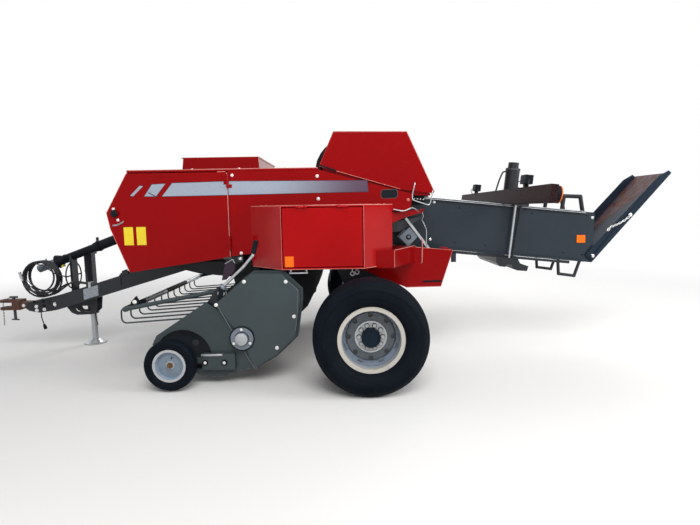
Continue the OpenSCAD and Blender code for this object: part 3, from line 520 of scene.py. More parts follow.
Finish = Paint | WornPaint | Metal | Moulded | Rim | Stripe | Lens
SHINE: Colour = (1.0, 0.1, 0.12)
RED = Paint("red_gloss_paint", "red_paint", (0.235, 0.0006, 0.001),
            (0.21, 0.0008, 0.0012), 0.22, 0.06, 0.015, 1.6, 0.55, SHINE)
# A lighter copy of the red paint: painted light on the faces of the twine boxes and the guard's fold.
LIT_RED = Paint("twine_box_red_paint", "red_paint", (0.36, 0.0015, 0.002),
                (0.31, 0.001, 0.0016), 0.2, 0.08, 0.012, 1.6, 0.6, SHINE)
# Lighter, pinkish red: painted highlight where the red paint's edges, seams, bolts and rods catch the light.
HIGHLIT_RED = Paint("bright_rolled_edge", "red_paint", (0.62, 0.2, 0.17), (0.5, 0.1, 0.08), 0.3, 0.3, 0.0)
BLACK = Paint("black_frame_paint", "black_paint", (0.016, 0.019, 0.024), (0.011, 0.014, 0.019), 0.36,
              0.05, 0.04)
CHARCOAL = Paint("charcoal_sheet_paint", "charcoal_paint", (0.04, 0.056, 0.06),
                 (0.034, 0.047, 0.051), 0.42, 0.04, 0.03)
SLATE = Paint("slate_chamber_paint", "slate_paint", (0.017, 0.026, 0.036), (0.014, 0.022, 0.031), 0.36,
              0.06, 0.02)
CHUTE = WornPaint("worn_chute_paint", "slate_paint", (0.016, 0.026, 0.042), (0.13, 0.04, 0.015),
                  (0.1, 0.12, 0.16), 0.95, 0.55)
# Near-black board mottled with small lighter reddish-brown patches.
BOARD = Paint("dirty_lamp_board", "black_paint", (0.012, 0.005, 0.008), (0.034, 0.015, 0.014), 0.45,
              0.0, 0.0, 55.0, 0.06)
ZINC = Metal("zinc_and_bare_steel", "bare_steel", (0.46, 0.48, 0.5), (0.16, 0.13, 0.11), 0.34, 0.3)
BOLT = Metal("bright_bolts", "bare_steel", (0.75, 0.75, 0.73), (0.3, 0.28, 0.25), 0.3, 0.15, 0.5)
SHEET_ZINC = Metal("dull_zinc_plate", "bare_steel", (0.17, 0.2, 0.24), (0.1, 0.11, 0.12), 0.45, 0.4, 0.4)
DARK_STEEL = Metal("dark_oiled_steel", "bare_steel", (0.06, 0.065, 0.07), (0.03, 0.024, 0.02), 0.45,
                   0.5, 0.6)
RUSTY = Metal("rusty_forged_iron", "rusty_iron", (0.085, 0.035, 0.022), (0.035, 0.016, 0.012), 0.65,
              0.8, 0.3, 0.0012)
BRASS = Metal("brown_axle_nut", "rusty_iron", (0.17, 0.1, 0.05), (0.06, 0.03, 0.015), 0.45, 0.6, 0.6)
CAST = Metal("grey_cast_iron", "grey_iron", (0.1, 0.105, 0.11), (0.05, 0.045, 0.04), 0.5, 0.4, 0.5,
             0.0009)
# Near-black cap: painted shade of the hub's deep bore.
BORE_SHADE_CAP = Moulded("navy_hub_cap", "guard_plastic", (0.004, 0.01, 0.018), 0.4, 0.0, 0.1)
PLASTIC = Moulded("black_guard_plastic", "guard_plastic", (0.006, 0.008, 0.011), 0.45, 0.015, 0.08)
RUBBER = Moulded("tyre_rubber_finish", "tyre_rubber", (0.003, 0.005, 0.0085), 0.62, 0.006, 0.05,
                 500.0, 0.0003)
HOSE = Moulded("hose_rubber", "tyre_rubber", (0.008, 0.01, 0.013), 0.4, 0.0, 0.3, 700.0, 0.0002)
AMBER = Lens("amber_reflector_lens", "amber_plastic", (0.85, 0.15, 0.001))
RED_LENS = Lens("red_lamp_lens", "lamp_lens", (0.4, 0.012, 0.01))
CLEAR = Lens("clear_work_lens", "lamp_lens", (0.5, 0.52, 0.55), 0.05)
FOIL = Stripe("silver_stripe_foil", "silver_paint", (0.34, 0.4, 0.48), (0.075, 0.035, 0.075), -0.75, 0.0)
# Dark purple: the stripes' printed outline, and on the seam plate painted shade over a red bracket.
DARK_PRINT_AND_SHADE = Paint("dark_stripe_outline", "guard_plastic", (0.03, 0.012, 0.03), (0.022, 0.01, 0.024),
                0.35, 0.2, 0.0)
YELLOW = Paint("yellow_plate_print", "amber_plastic", (0.78, 0.6, 0.02), (0.7, 0.52, 0.02), 0.3, 0.3,
               0.03)
WHITE = Paint("white_plate_print", "silver_paint", (0.32, 0.35, 0.4), (0.2, 0.22, 0.25), 0.4, 0.2,
              0.05, 60.0)
FLANK = Paint("far_duct_finish", "charcoal_paint", (0.014, 0.017, 0.02), (0.01, 0.012, 0.015), 0.5,
              0.1, 0.05)


class Finishes:
    """Every finish once, made when it is first asked for."""

    def __init__(self) -> None:
        """Start with no materials."""
        self.made: dict[str, bpy.types.Material] = {}

    def of(self, finish: Finish) -> bpy.types.Material:
        """Give a finish's material.

        Args:
            finish: The finish wanted.

        Returns:
            Its material, made at most once.
        """
        if finish.name not in self.made:
            self.made[finish.name] = finish.build()
        return self.made[finish.name]


FINISHES = Finishes()


class Mould:
    """Gathers the faces of one piece and turns them into an object."""

    def __init__(self, name: str, finish: Finish) -> None:
        """Start an empty piece.

        Args:
            name: The piece's name.
            finish: Its finish.
        """
        self.name = name
        self.finish = finish
        self.mesh = bmesh.new()

    def loft(self, rings: list[list[Vector]], closed: bool = False) -> "Mould":
        """Skin a row of rings.

        Args:
            rings: Rings of as many points each.
            closed: Whether the last ring joins the first; otherwise both ends are capped.

        Returns:
            The mould itself.
        """
        rows = [[self.mesh.verts.new(p) for p in ring] for ring in rings]
        count = len(rows[0])
        spans = len(rows) if closed else len(rows) - 1
        for i in range(spans):
            a, b = rows[i], rows[(i + 1) % len(rows)]
            for k in range(count):
                self.mesh.faces.new((a[k], a[(k + 1) % count], b[(k + 1) % count], b[k]))
        if not closed:
            self.mesh.faces.new(list(reversed(rows[0])))
            self.mesh.faces.new(rows[-1])
        return self

    def slab(self, outline: Outline, y0: float, y1: float) -> "Mould":
        """Extrude an outline in X and Z, measured from the axle, from y0 to y1."""
        return self.loft([[place(x, y, z) for x, z in outline] for y in (y0, y1)])

    def tube(self, path: list[Vector], radius: float, sides: int = 10, closed: bool = False) -> "Mould":
        """Sweep a circle along a path.

        Args:
            path: Points of the centre line.
            radius: The tube's radius.
            sides: Points round the circle.
            closed: Whether the path's end joins its start.

        Returns:
            The mould itself.
        """
        count = len(path)
        rings = []
        normal = None
        for i, point in enumerate(path):
            before = path[i - 1] if i or closed else point
            after = path[(i + 1) % count] if i < count - 1 or closed else point
            along = (after - before).normalized()
            if normal is None:
                normal = along.orthogonal().normalized()
            normal = (normal - along * normal.dot(along)).normalized()
            other = along.cross(normal)
            rings.append([point + radius * (math.cos(a) * normal + math.sin(a) * other)
                          for a in (math.tau * k / sides for k in range(sides))])
        return self.loft(rings, closed)

    def turned(self, profile: Outline, centre: Vector, axis: Vector, steps: int = 48,
               closed: bool = True) -> "Mould":
        """Turn a profile round an axis.

        Args:
            profile: Radius and distance along the axis of each point.
            centre: The point that distances are measured from.
            axis: The direction of the axis.
            steps: Divisions of the circle.
            closed: Whether the profile is a closed loop.

        Returns:
            The mould itself.
        """
        along = axis.normalized()
        side = along.orthogonal().normalized()
        other = along.cross(side)
        rings = []
        for k in range(steps):
            a = math.tau * k / steps
            out = math.cos(a) * side + math.sin(a) * other
            rings.append([self.mesh.verts.new(centre + out * r + along * h) for r, h in profile])
        count = len(profile)
        for k in range(steps):
            a, b = rings[k], rings[(k + 1) % steps]
            for i in range(count if closed else count - 1):
                j = (i + 1) % count
                if profile[i][0] < NEAR and profile[j][0] < NEAR:
                    continue
                self.mesh.faces.new((a[i], a[j], b[j], b[i]))
        return self

    def bolt(self, at: Vector, out: Vector, size: float, height: float | None = None) -> "Mould":
        """Add a hexagon head on a washer.

        Args:
            at: The foot of the bolt.
            out: The direction that it stands out in.
            size: Distance between the corners.
            height: The head's height; a third of its size if left out.

        Returns:
            The mould itself.
        """
        along = out.normalized()
        side = along.orthogonal().normalized()
        other = along.cross(side)
        tall = height or size / 3
        washer = [(1.25, 0.0), (1.25, 0.15), (1.2, 0.2)]
        for profile, count in ((washer, 16), ([(1.0, 0.2), (1.0, 0.9), (0.8, 1.2)], 6)):
            rings = [[at + 0.5 * size * r * (math.cos(math.tau * k / count) * side +
                                             math.sin(math.tau * k / count) * other) + along * tall * h
                      for k in range(count)] for r, h in profile]
            self.loft(rings)
        return self

    def plate(self, outline: list[Vector], thickness: float) -> "Mould":
        """Make a flat sheet from its corners, thickened to both sides."""
        across = (outline[1] - outline[0]).cross(outline[2] - outline[1]).normalized() * thickness / 2
        return self.loft([[p - across for p in outline], [p + across for p in outline]])

    def block(self, low: Point3, high: Point3) -> "Mould":
        """Add a block between two corners, measured from the axle.

        Args:
            low: One corner.
            high: The opposite corner.

        Returns:
            The mould itself.
        """
        corners = ((0, 0), (1, 0), (1, 1), (0, 1))
        pick = (low, high)
        return self.loft([[place(pick[i][0], pick[k][1], pick[j][2]) for i, j in corners] for k in (0, 1)])

    def chain(self, start: Vector, end: Vector, links: int, wire: float, sag: float = 0.0) -> "Mould":
        """Hang a chain of oval links between two places.

        Args:
            start: Where the chain starts.
            end: Where it ends.
            links: Number of links.
            wire: Radius of a link's wire.
            sag: How far its middle hangs down.

        Returns:
            The mould itself.
        """
        drop = Vector((0, 0, -4 * sag))
        spots = [start.lerp(end, k / links) + drop * (k / links) * (1 - k / links) for k in range(links + 1)]
        for i, (a, b) in enumerate(zip(spots, spots[1:])):
            along = (b - a).normalized()
            side = along.orthogonal().normalized()
            side = along.cross(side) if i % 2 else side
            long, wide = (b - a).length / 2 + wire * 1.6, wire * 2.6
            self.tube([(a + b) / 2 + along * math.cos(t) * long + side * math.sin(t) * wide
                       for t in (math.tau * k / 12 for k in range(12))], wire, 6, closed=True)
        return self

    def cast(self, body: str, bevel: float = 0.0, smooth: float = 35.0,
             replaces: tuple[str, ...] = ()) -> bpy.types.Object:
        """Finish the piece as an object that rides on a body.

        Args:
            body: The body that it moves with.
            bevel: Width of the softened edges.
            smooth: Edges flatter than this many degrees are shaded smooth.
            replaces: Nodes that the piece stands for.

        Returns:
            The object.
        """
        bmesh.ops.remove_doubles(self.mesh, verts=self.mesh.verts, dist=NEAR)
        bmesh.ops.recalc_face_normals(self.mesh, faces=self.mesh.faces)
        data = bpy.data.meshes.new(self.name)
        self.mesh.to_mesh(data)
        self.mesh.free()
        thing = bpy.data.objects.new(self.name, data)
        bpy.context.scene.collection.objects.link(thing)
        data.materials.append(FINISHES.of(self.finish))
        data.shade_smooth()
        data.set_sharp_from_angle(angle=math.radians(smooth))
        if bevel:
            soften(thing, bevel)
        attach(thing, body)
        if replaces:
            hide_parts(*replaces)
        log.info("made %s on %s", self.name, body)
        return thing


def soften(thing: bpy.types.Object, width: float) -> None:
    """Round an object's sharp edges.

    Args:
        thing: The object.
        width: Width of the rounding in metres.
    """
    bevel = thing.modifiers.new("soft_edges", "BEVEL")
    bevel.width = width
    bevel.segments = 2
    bevel.limit_method = "ANGLE"
    bevel.angle_limit = math.radians(40)


def dress(finish: Finish, *nodes: str, edge: float = 0.0) -> None:
    """Give construction nodes their finish.

    Args:
        finish: The finish.
        nodes: Names of the nodes.
        edge: Width of their rounded edges.
    """
    for name in nodes:
        thing = frame["nodes"][name]
        thing.data.materials.clear()
        thing.data.materials.append(FINISHES.of(finish))
        if edge:
            thing.modifiers.new("weld", "WELD").merge_threshold = 1e-5
            soften(thing, edge)


class Assembly:
    """Ways of making small pieces that the sub-assemblies share."""

    @staticmethod
    def bolts(name: str, body: str, out: Vector, size: float, places: list[Vector],
              finish: Finish = BOLT) -> None:
        """Set a row of bolts.

        Args:
            name: The row's name.
            body: The body that they are on.
            out: The direction that their heads stand out in.
            size: Distance between a head's corners.
            places: The feet of the bolts.
            finish: Their finish.
        """
        mould = Mould(name, finish)
        for at in places:
            mould.bolt(at, out, size)
        mould.cast(body)

    @staticmethod
    def rod(name: str, finish: Finish, body: str, radius: float, path: list[Vector],
            closed: bool = False) -> None:
        """Bend a rod, or a painted highlight line along an edge, of that radius along a path, which may be
        closed.
        """
        Mould(name, finish).tube(path, radius, 8, closed).cast(body, smooth=60)

    @staticmethod
    def knob(name: str, finish: Finish, body: str, profile: Outline, at: Vector, out: Vector) -> None:
        """Turn a round piece from radius and height of each point, from its foot to its top."""
        Mould(name, finish).turned(profile, at, out, 32, closed=False).cast(body, smooth=40)

    @staticmethod
    def rings(name: str, finish: Finish, body: str, profile: Outline, spots: list[Vector], out: Vector,
              steps: int, closed: bool = True) -> None:
        """Turn the same ring or disc at several places, as one piece.

        Args:
            name: The piece's name.
            finish: Its finish.
            body: The body that it is on.
            profile: Radius and height of each point.
            spots: The middles of their feet.
            out: The direction that they stand out in.
            steps: Divisions of the circle.
            closed: Whether the profile is a closed loop.
        """
        mould = Mould(name, finish)
        for spot in spots:
            mould.turned(profile, spot, out, steps, closed)
        mould.cast(body)


@dataclass(frozen=True)
class Sheet:
    """A sheet cut to an outline in X and Z, from an inner to an outer distance from the middle."""

    name: str
    finish: Finish
    outline: Outline
    inner: float
    outer: float
    bevel: float = 0.0
    body: str = "chassis"

    def build(self, side: Side) -> None:
        """Cut the sheet for one side.

        Args:
            side: The machine's side.
        """
        mould = Mould(side.own(self.name), self.finish)
        mould.slab(self.outline, side.value * self.inner, side.value * self.outer)
        mould.cast(side.body(self.body), bevel=self.bevel)


@dataclass(frozen=True)
class Flat:
    """A flat sheet that lies at an angle, from its corners."""

    name: str
    finish: Finish
    corners: Path
    thickness: float
    bevel: float = 0.0
    body: str = "chassis"

    def build(self, side: Side) -> None:
        """Cut the sheet for one side.

        Args:
            side: The machine's side.
        """
        mould = Mould(side.own(self.name), self.finish)
        mould.plate(on(side, *self.corners), self.thickness)
        mould.cast(side.body(self.body), bevel=self.bevel)


@dataclass(frozen=True)
class Bend:
    """A rod, a wire, or a painted highlight line along an edge; a corner of 0 is sharp, a length rounds it,
    and None eases the path.
    """

    name: str
    finish: Finish
    radius: float
    path: Path
    corner: float | None = 0.0
    body: str = "chassis"

    def build(self, side: Side) -> None:
        """Bend the rod for one side.

        Args:
            side: The machine's side.
        """
        path = on(side, *self.path)
        if self.corner is None:
            path = eased(path)
        elif self.corner:
            path = rounded(path, self.corner)
        Assembly.rod(side.own(self.name), self.finish, side.body(self.body), self.radius, path)


@dataclass(frozen=True)
class BoltRow:
    """Bolts of one size, whose heads stand out sideways or upwards."""

    name: str
    size: float
    places: Path
    finish: Finish = BOLT
    body: str = "chassis"
    upwards: bool = False

    def build(self, side: Side) -> None:
        """Set the bolts of one side."""
        out = UP if self.upwards else side.out
        Assembly.bolts(side.own(self.name), side.body(self.body), out, self.size, on(side, *self.places),
                       self.finish)


@dataclass(frozen=True)
class Knob:
    """A round piece that stands out sideways, as radius and height from its foot."""

    name: str
    finish: Finish
    profile: Outline
    foot: Point3
    body: str = "chassis"

    def build(self, side: Side) -> None:
        """Turn the piece for one side."""
        foot = on(side, self.foot)[0]
        Assembly.knob(side.own(self.name), self.finish, side.body(self.body), self.profile, foot, side.out)


Piece = Sheet | Flat | Bend | BoltRow | Knob


@dataclass
class Camera:
    """The photograph's viewpoint, found from places on the machine."""

    stand: Point3 = (-0.133, -4.245, 1.241)
    lens: float = 24.27
    sensor: float = 36.0
    yaw: float = 0.0005
    pitch_down: float = 0.1119
    roll: float = -0.016

    def build(self) -> None:
        """Set up the scene's camera."""
        data = bpy.data.cameras.new("camera")
        data.lens = self.lens
        data.sensor_width = self.sensor
        thing = bpy.data.objects.new("camera", data)
        bpy.context.scene.collection.objects.link(thing)
        level = Vector((math.sin(self.yaw), math.cos(self.yaw), 0.0))
        right = Vector((math.cos(self.yaw), -math.sin(self.yaw), 0.0))
        forward = level * math.cos(self.pitch_down) - UP * math.sin(self.pitch_down)
        up = UP * math.cos(self.pitch_down) + level * math.sin(self.pitch_down)
        turned_right = right * math.cos(self.roll) + up * math.sin(self.roll)
        turned_up = up * math.cos(self.roll) - right * math.sin(self.roll)
        rotation = Matrix((turned_right, turned_up, -forward)).transposed().to_4x4()
        thing.matrix_world = Matrix.Translation(place(*self.stand)) @ rotation
        bpy.context.scene.camera = thing


@dataclass
class Studio:
    """Plain pale floor, white surroundings and soft lamps."""

    floor_size: float = 90.0
    floor_colour: Colour = (0.8, 0.79, 0.77)
    fade_from: float = 3.4
    fade_to: float = 8.0
    soft_colour: Colour = (0.93, 0.96, 1.0)
    soft_strength: float = 0.45
    aim: Point3 = (-0.3, 0, 0.8)
    # Columns: name, place, side in metres, power in watts.
    lamps: tuple[tuple[str, Point3, float, float], ...] = (
        ("key", (0.5, -6.0, 5.8), 4.0, 400.0),
        ("side", (7.2, -2.9, 4.0), 3.5, 330.0),
        ("back", (2.0, 6.0, 5.5), 4.0, 280.0))

    def build(self) -> None:
        """Make the floor, the world and the lamps."""
        self.floor()
        self.world()
        for name, at, size, power in self.lamps:
            self.lamp(name, place(*at), size, power)

    @staticmethod
    def seen(tree: Tree) -> Wire:
        """Tell rays that should find the plain white surroundings.

        Args:
            tree: The tree that asks.

        Returns:
            1 for rays of the camera, of mirrors and through glass.
        """
        rays = tree.node("ShaderNodeLightPath", output="Is Camera Ray")
        gloss = tree.node("ShaderNodeLightPath", output="Is Glossy Ray")
        glass = tree.node("ShaderNodeLightPath", output="Is Transmission Ray")
        return tree.math("MAXIMUM", tree.math("MAXIMUM", rays, gloss), glass)

    def floor(self) -> None:
        """Lay the floor, which keeps the machine's shadow and fades to white far off."""
        bpy.ops.mesh.primitive_plane_add(size=self.floor_size, location=(0, 0, 0))
        thing = bpy.context.object
        thing.name = "floor"
        s = Surface("pale_floor")
        s.put(Base_Color=self.floor_colour, Roughness=0.9, Specular_IOR_Level=0.1)
        far = s.across(Vector((0, 0, 0)), "Z").smooth(self.fade_from, self.fade_to)
        white = s.node("ShaderNodeEmission", {}, {"Color": (1, 1, 1, 1), "Strength": 1.0})
        lit = Wire(s, s.shader.outputs[0])
        mixed = s.node("ShaderNodeMixShader", {}, {0: far * self.seen(s), 1: lit, 2: white})
        s.link(mixed, s.tree.nodes["Material Output"].inputs["Surface"])
        thing.data.materials.append(s.material)

    def world(self) -> None:
        """Show white to the camera, in mirrors and through glass, and light softly."""
        world = bpy.data.worlds.new("surroundings")
        bpy.context.scene.world = world
        world.use_nodes = True
        world.node_tree.nodes.clear()
        tree = Tree(world.node_tree)
        soft = tree.node("ShaderNodeBackground", {}, {
            "Color": (*self.soft_colour, 1), "Strength": self.soft_strength})
        white = tree.node("ShaderNodeBackground", {}, {"Color": (1, 1, 1, 1), "Strength": 1.0})
        mixed = tree.node("ShaderNodeMixShader", {}, {0: self.seen(tree), 1: soft, 2: white})
        out = world.node_tree.nodes.new("ShaderNodeOutputWorld")
        tree.link(mixed, out.inputs["Surface"])

    def lamp(self, name: str, at: Vector, size: float, power: float) -> None:
        """Hang one square lamp that faces the machine.

        Args:
            name: The lamp's name.
            at: Its place.
            size: Its side in metres.
            power: Its power in watts.
        """
        data = bpy.data.lights.new(name, "AREA")
        data.energy = power
        data.size = size
        thing = bpy.data.objects.new(name, data)
        bpy.context.scene.collection.objects.link(thing)
        thing.location = at
        thing.rotation_mode = "QUATERNION"
        thing.rotation_quaternion = (place(*self.aim) - at).to_track_quat("-Z", "Y")


@dataclass
class Hoses(Assembly):
    """Two hydraulic hoses coiled side by side on the stand's hook, and the lead under the hitch."""

    diameter: float = 0.015
    pitch: float = 0.016
    gap: float = 0.008
    centre: Point2 = (-2.828, 0.678)
    radius: float = 0.157
    loose: float = 0.055
    inner_y: float = 0.087
    turns: tuple[float, float] = (3.28, 3.36)
    steps: int = 80
    start_angle: float = -53.5
    starts: tuple[Path, ...] = (
        ((-2.405, 0.15, 0.634), (-2.44, 0.15, 0.637), (-2.5, 0.138, 0.645), (-2.56, 0.105, 0.645),
         (-2.6, 0.08, 0.64), (-2.635, 0.07, 0.626), (-2.685, 0.077, 0.59)),
        ((-2.405, 0.178, 0.634), (-2.44, 0.178, 0.638), (-2.52, 0.172, 0.645), (-2.59, 0.165, 0.637),
         (-2.645, 0.159, 0.614), (-2.69, 0.153, 0.582)))
    clamp: tuple[Point3, Point3] = ((-2.408, -0.192, 0.6), (-2.385, -0.138, 0.65))
    coupling: Outline = ((0.0, -0.012), (0.0095, -0.012), (0.0095, 0.012), (0.0135, 0.013), (0.0135, 0.03),
                         (0.010, 0.032), (0.010, 0.05), (0.012, 0.052), (0.012, 0.066), (0.0, 0.066))
    hook_foot: Path = ((-2.636, 0.12, 0.69), (-2.647, 0.135, 0.7))
    lead_diameter: float = 0.009
    lead_path: Path = ((-2.934, -0.04, 0.372), (-2.935, -0.041, 0.34), (-2.932, -0.042, 0.305),
                       (-2.922, -0.044, 0.27), (-2.914, -0.045, 0.245))
    plug: Outline = ((0.0, -0.008), (0.007, -0.008), (0.012, 0.004), (0.0135, 0.012), (0.0135, 0.038),
                     (0.011, 0.042), (0.0, 0.042))

    def build(self) -> None:
        """Lay both hoses on their hook, and the lead."""
        for which in (0, 1):
            self.hose(which)
        Mould("hose_clamp", ZINC).block(*self.clamp).cast("chassis", bevel=0.002)
        self.hook()
        self.lead()

    def route(self, which: int) -> list[Vector]:
        """Give a hose's way from its clamp into the coil.

        Args:
            which: 0 for the inner hose and 1 for the outer one.

        Returns:
            Points of its centre line.
        """
        path = eased(on(Side.LEFT, *self.starts[which]), 4)[:-1]
        first_y = self.inner_y + which * (self.turns[0] * self.pitch + self.gap)
        for k in range(self.steps + 1):
            turned = self.turns[which] * k / self.steps
            angle = math.radians(self.start_angle - 360 * turned)
            slack = self.loose * (1 + math.sin(2.1 * turned + 2 * which)) * (1 - math.sin(angle)) / 4
            r = self.radius - slack * min(1.0, 2 * turned)
            path += on(Side.LEFT, (self.centre[0] + r * math.cos(angle), first_y + self.pitch * turned,
                                   self.centre[1] + r * math.sin(angle)))
        return path

    @staticmethod
    def curve(name: str, path: list[Vector], diameter: float) -> bpy.types.Object:
        """Make a flexible line as a curve.

        Args:
            name: The piece's name.
            path: Points of its centre line.
            diameter: Its thickness.

        Returns:
            The curve's object.
        """
        data = bpy.data.curves.new(name, "CURVE")
        data.dimensions = "3D"
        data.bevel_depth = diameter / 2
        data.bevel_resolution = 3
        data.use_fill_caps = True
        spline = data.splines.new("POLY")
        spline.points.add(len(path) - 1)
        for point, at in zip(spline.points, path):
            point.co = (*at, 1.0)
        thing = bpy.data.objects.new(name, data)
        bpy.context.scene.collection.objects.link(thing)
        data.materials.append(FINISHES.of(HOSE))
        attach(thing, "chassis")
        log.info("laid %s", name)
        return thing

    @staticmethod
    def fitting(name: str, finish: Finish, profile: Outline, path: list[Vector]) -> bpy.types.Object:
        """Turn a line's end fitting from radius and distance past the end of each point."""
        way = (path[-1] - path[-2]).normalized()
        return Mould(name, finish).turned(profile, path[-1], way, 20, closed=False).cast("chassis")

    @staticmethod
    def length(path: list[Vector]) -> float:
        """Measure a path."""
        return sum((b - a).length for a, b in zip(path, path[1:]))

    def hose(self, which: int) -> None:
        """Lay one hose with the coupling on its end.

        Args:
            which: 0 for the inner hose and 1 for the outer one.
        """
        word = ("inner", "outer")[which]
        path = self.route(which)
        thing = self.curve(f"hose_{word}", path, self.diameter)
        coupling = self.fitting(f"hose_coupling_{word}", ZINC, self.coupling, path)

    def hook(self) -> None:
        """Bend the hook that the coils hang on, from the ring's side."""
        near = self.inner_y - 0.014
        far = self.inner_y + sum(self.turns) * self.pitch + 0.026
        top = self.centre[1] + self.radius - 0.0135
        x = self.centre[0]
        path = on(Side.LEFT, *self.hook_foot, (-2.65, far, 0.72), (-2.76, far, top - 0.02),
                  (x, far, top), (x, near, top), (x, near, top + 0.03))
        self.rod("hose_hook", BLACK, "chassis", 0.005, rounded(path, 0.015))

    def lead(self) -> None:
        """Hang the short lamp lead with its plug under the hitch."""
        path = eased([place(*p) for p in self.lead_path], 5)
        thing = self.curve("lamp_lead", path, self.lead_diameter)
        plug = self.fitting("lead_plug", PLASTIC, self.plug, path)


@dataclass
class Wheel(Assembly):
    """A main wheel's tyre with ribs round its tread and sidewall, and its rim's fittings."""

    side: Side
    track: float = 2.25
    radius: float = 0.3925
    width: float = 0.34
    flange_r: float = 0.2225
    bead_r: float = 0.2035
    crown: float = 0.012
    groove: float = 0.009
    grooves: tuple[float, ...] = (0.118, 0.078, 0.04)
    steps: int = 120
    # Height above the flange and distance in from the tyre's side.
    wall: Outline = ((0.002, 0.045), (0.014, 0.026), (0.02, 0.021), (0.024, 0.013), (0.045, 0.004),
                     (0.052, 0.0035), (0.054, 0.0015), (0.08, 0.0), (0.1, 0.002), (0.103, 0.0065),
                     (0.108, 0.0065), (0.111, 0.006), (0.125, 0.0105), (0.137, 0.019), (0.1395, 0.025),
                     (0.147, 0.0305))
    disc: Colour = (0.085, 0.1, 0.115)
    disc_from: float = 0.107
    disc_to: float = 0.172
    disc_depth: float = 0.1
    # The outlines from here on give radius and distance out from the wheel's middle.
    cap: Outline = ((0.0635, 0.036), (0.0635, 0.0845), (0.061, 0.0885), (0.054, 0.0885), (0.05, 0.0842),
                    (0.03, 0.0838), (0.0, 0.0838))
    nut_ring: Outline = ((0.1, 0.0325), (0.1, 0.037), (0.108, 0.037), (0.1085, 0.022), (0.1065, 0.022))
    lip: Outline = ((0.1962, 0.062), (0.1905, 0.064), (0.1885, 0.07), (0.1905, 0.076), (0.1962, 0.078))
    drum: Outline = ((0.118, -0.002), (0.118, 0.012), (0.18, 0.012), (0.18, -0.002))
    # A thin dark ring round each nut: painted shade.
    stud: Outline = ((0.0135, 0.032), (0.0135, 0.0355), (0.017, 0.035), (0.017, 0.032))
    studs: int = 10
    stud_circle: float = 0.08
    # Radius and distance along the rim of a clip's corners.
    clip: Outline = ((0.168, -0.014), (0.168, 0.014), (0.186, 0.02), (0.186, -0.02))
    clips: int = 8

    def build(self) -> None:
        """Make the tyre and finish the rim."""
        side = self.side
        centre = Vector((AXLE[0], side.value * self.track / 2, AXLE[2]))
        skin = Mould(f"tyre_{side.word}_skin", RUBBER).turned(self.profile(), centre, side.out, self.steps)
        skin.cast(side.own("wheel"), smooth=50, replaces=(side.own("tyre"),))
        dress(Rim(f"rim_{side.word}_paint", "silver_paint", (0.0, side.value * self.track / 2, AXLE[2]),
                  self.disc, self.disc_from, self.disc_to, self.disc_depth), side.own("rim"))
        self.fittings(centre)

    def profile(self) -> Outline:
        """Radius and depth of the tyre's outline, from bead to bead.

        Returns:
            The outline.
        """
        half = self.width / 2
        wall = [(self.bead_r, half - 0.046), *((self.flange_r + h, half - inward) for h, inward in self.wall)]
        tread = []
        for groove in self.grooves:
            crown = self.radius - self.crown * (groove / 0.14) ** 2
            tread += [(crown - 0.0015, groove + 0.005), (crown - self.groove, groove + 0.0035),
                      (crown - self.groove, groove - 0.0035), (crown, groove - 0.005)]
        tread += [(self.radius, 0.0)]
        return (*wall, *tread, *((a, -h) for a, h in reversed(wall + tread[:-1])))

    @staticmethod
    def spoke(k: float, count: int) -> Vector:
        """Give the direction of one of a wheel's evenly spread spokes."""
        angle = math.tau * k / count
        return Vector((math.cos(angle), 0, math.sin(angle)))

    def fittings(self, centre: Vector) -> None:
        """Set the hub cap, the ring round the nuts, the barrel's second lip, the clips and the painted shade
        rings round the nuts.

        Args:
            centre: The wheel's middle.
        """
        own, out = self.side.own, self.side.out
        body = own("wheel")
        # The cap is near-black: painted shade of the hub's deep bore.
        self.knob(own("hub_cap"), BORE_SHADE_CAP, body, self.cap, centre, out)
        self.rings(own("nut_ring"), ZINC, body, self.nut_ring, [centre], out, 48)
        # The second lip is in dull zinc, darker than the rim: painted shade in the crease between lip and
        # barrel.
        self.rings(own("barrel_lip"), SHEET_ZINC, body, self.lip, [centre], out, 64)
        # The dark ring behind the disc's holes stands for a hub flange and is also painted shade, so the
        # holes read dark.
        self.rings(own("drum_ring"), DARK_STEEL, body, self.drum, [centre], out, 64)
        clips = Mould(own("disc_clips"), SHEET_ZINC)
        for k in range(self.clips):
            way = self.spoke(k + 0.5, self.clips)
            across = out.cross(way)
            clips.loft([[centre + out * h + way * r + across * a for r, a in self.clip]
                        for h in (-0.004, 0.02)])
        clips.cast(body, bevel=0.002)
        spots = [centre + self.spoke(k, self.studs) * self.stud_circle for k in range(self.studs)]
        self.rings(own("nut_studs"), DARK_STEEL, body, self.stud, spots, out, 16)


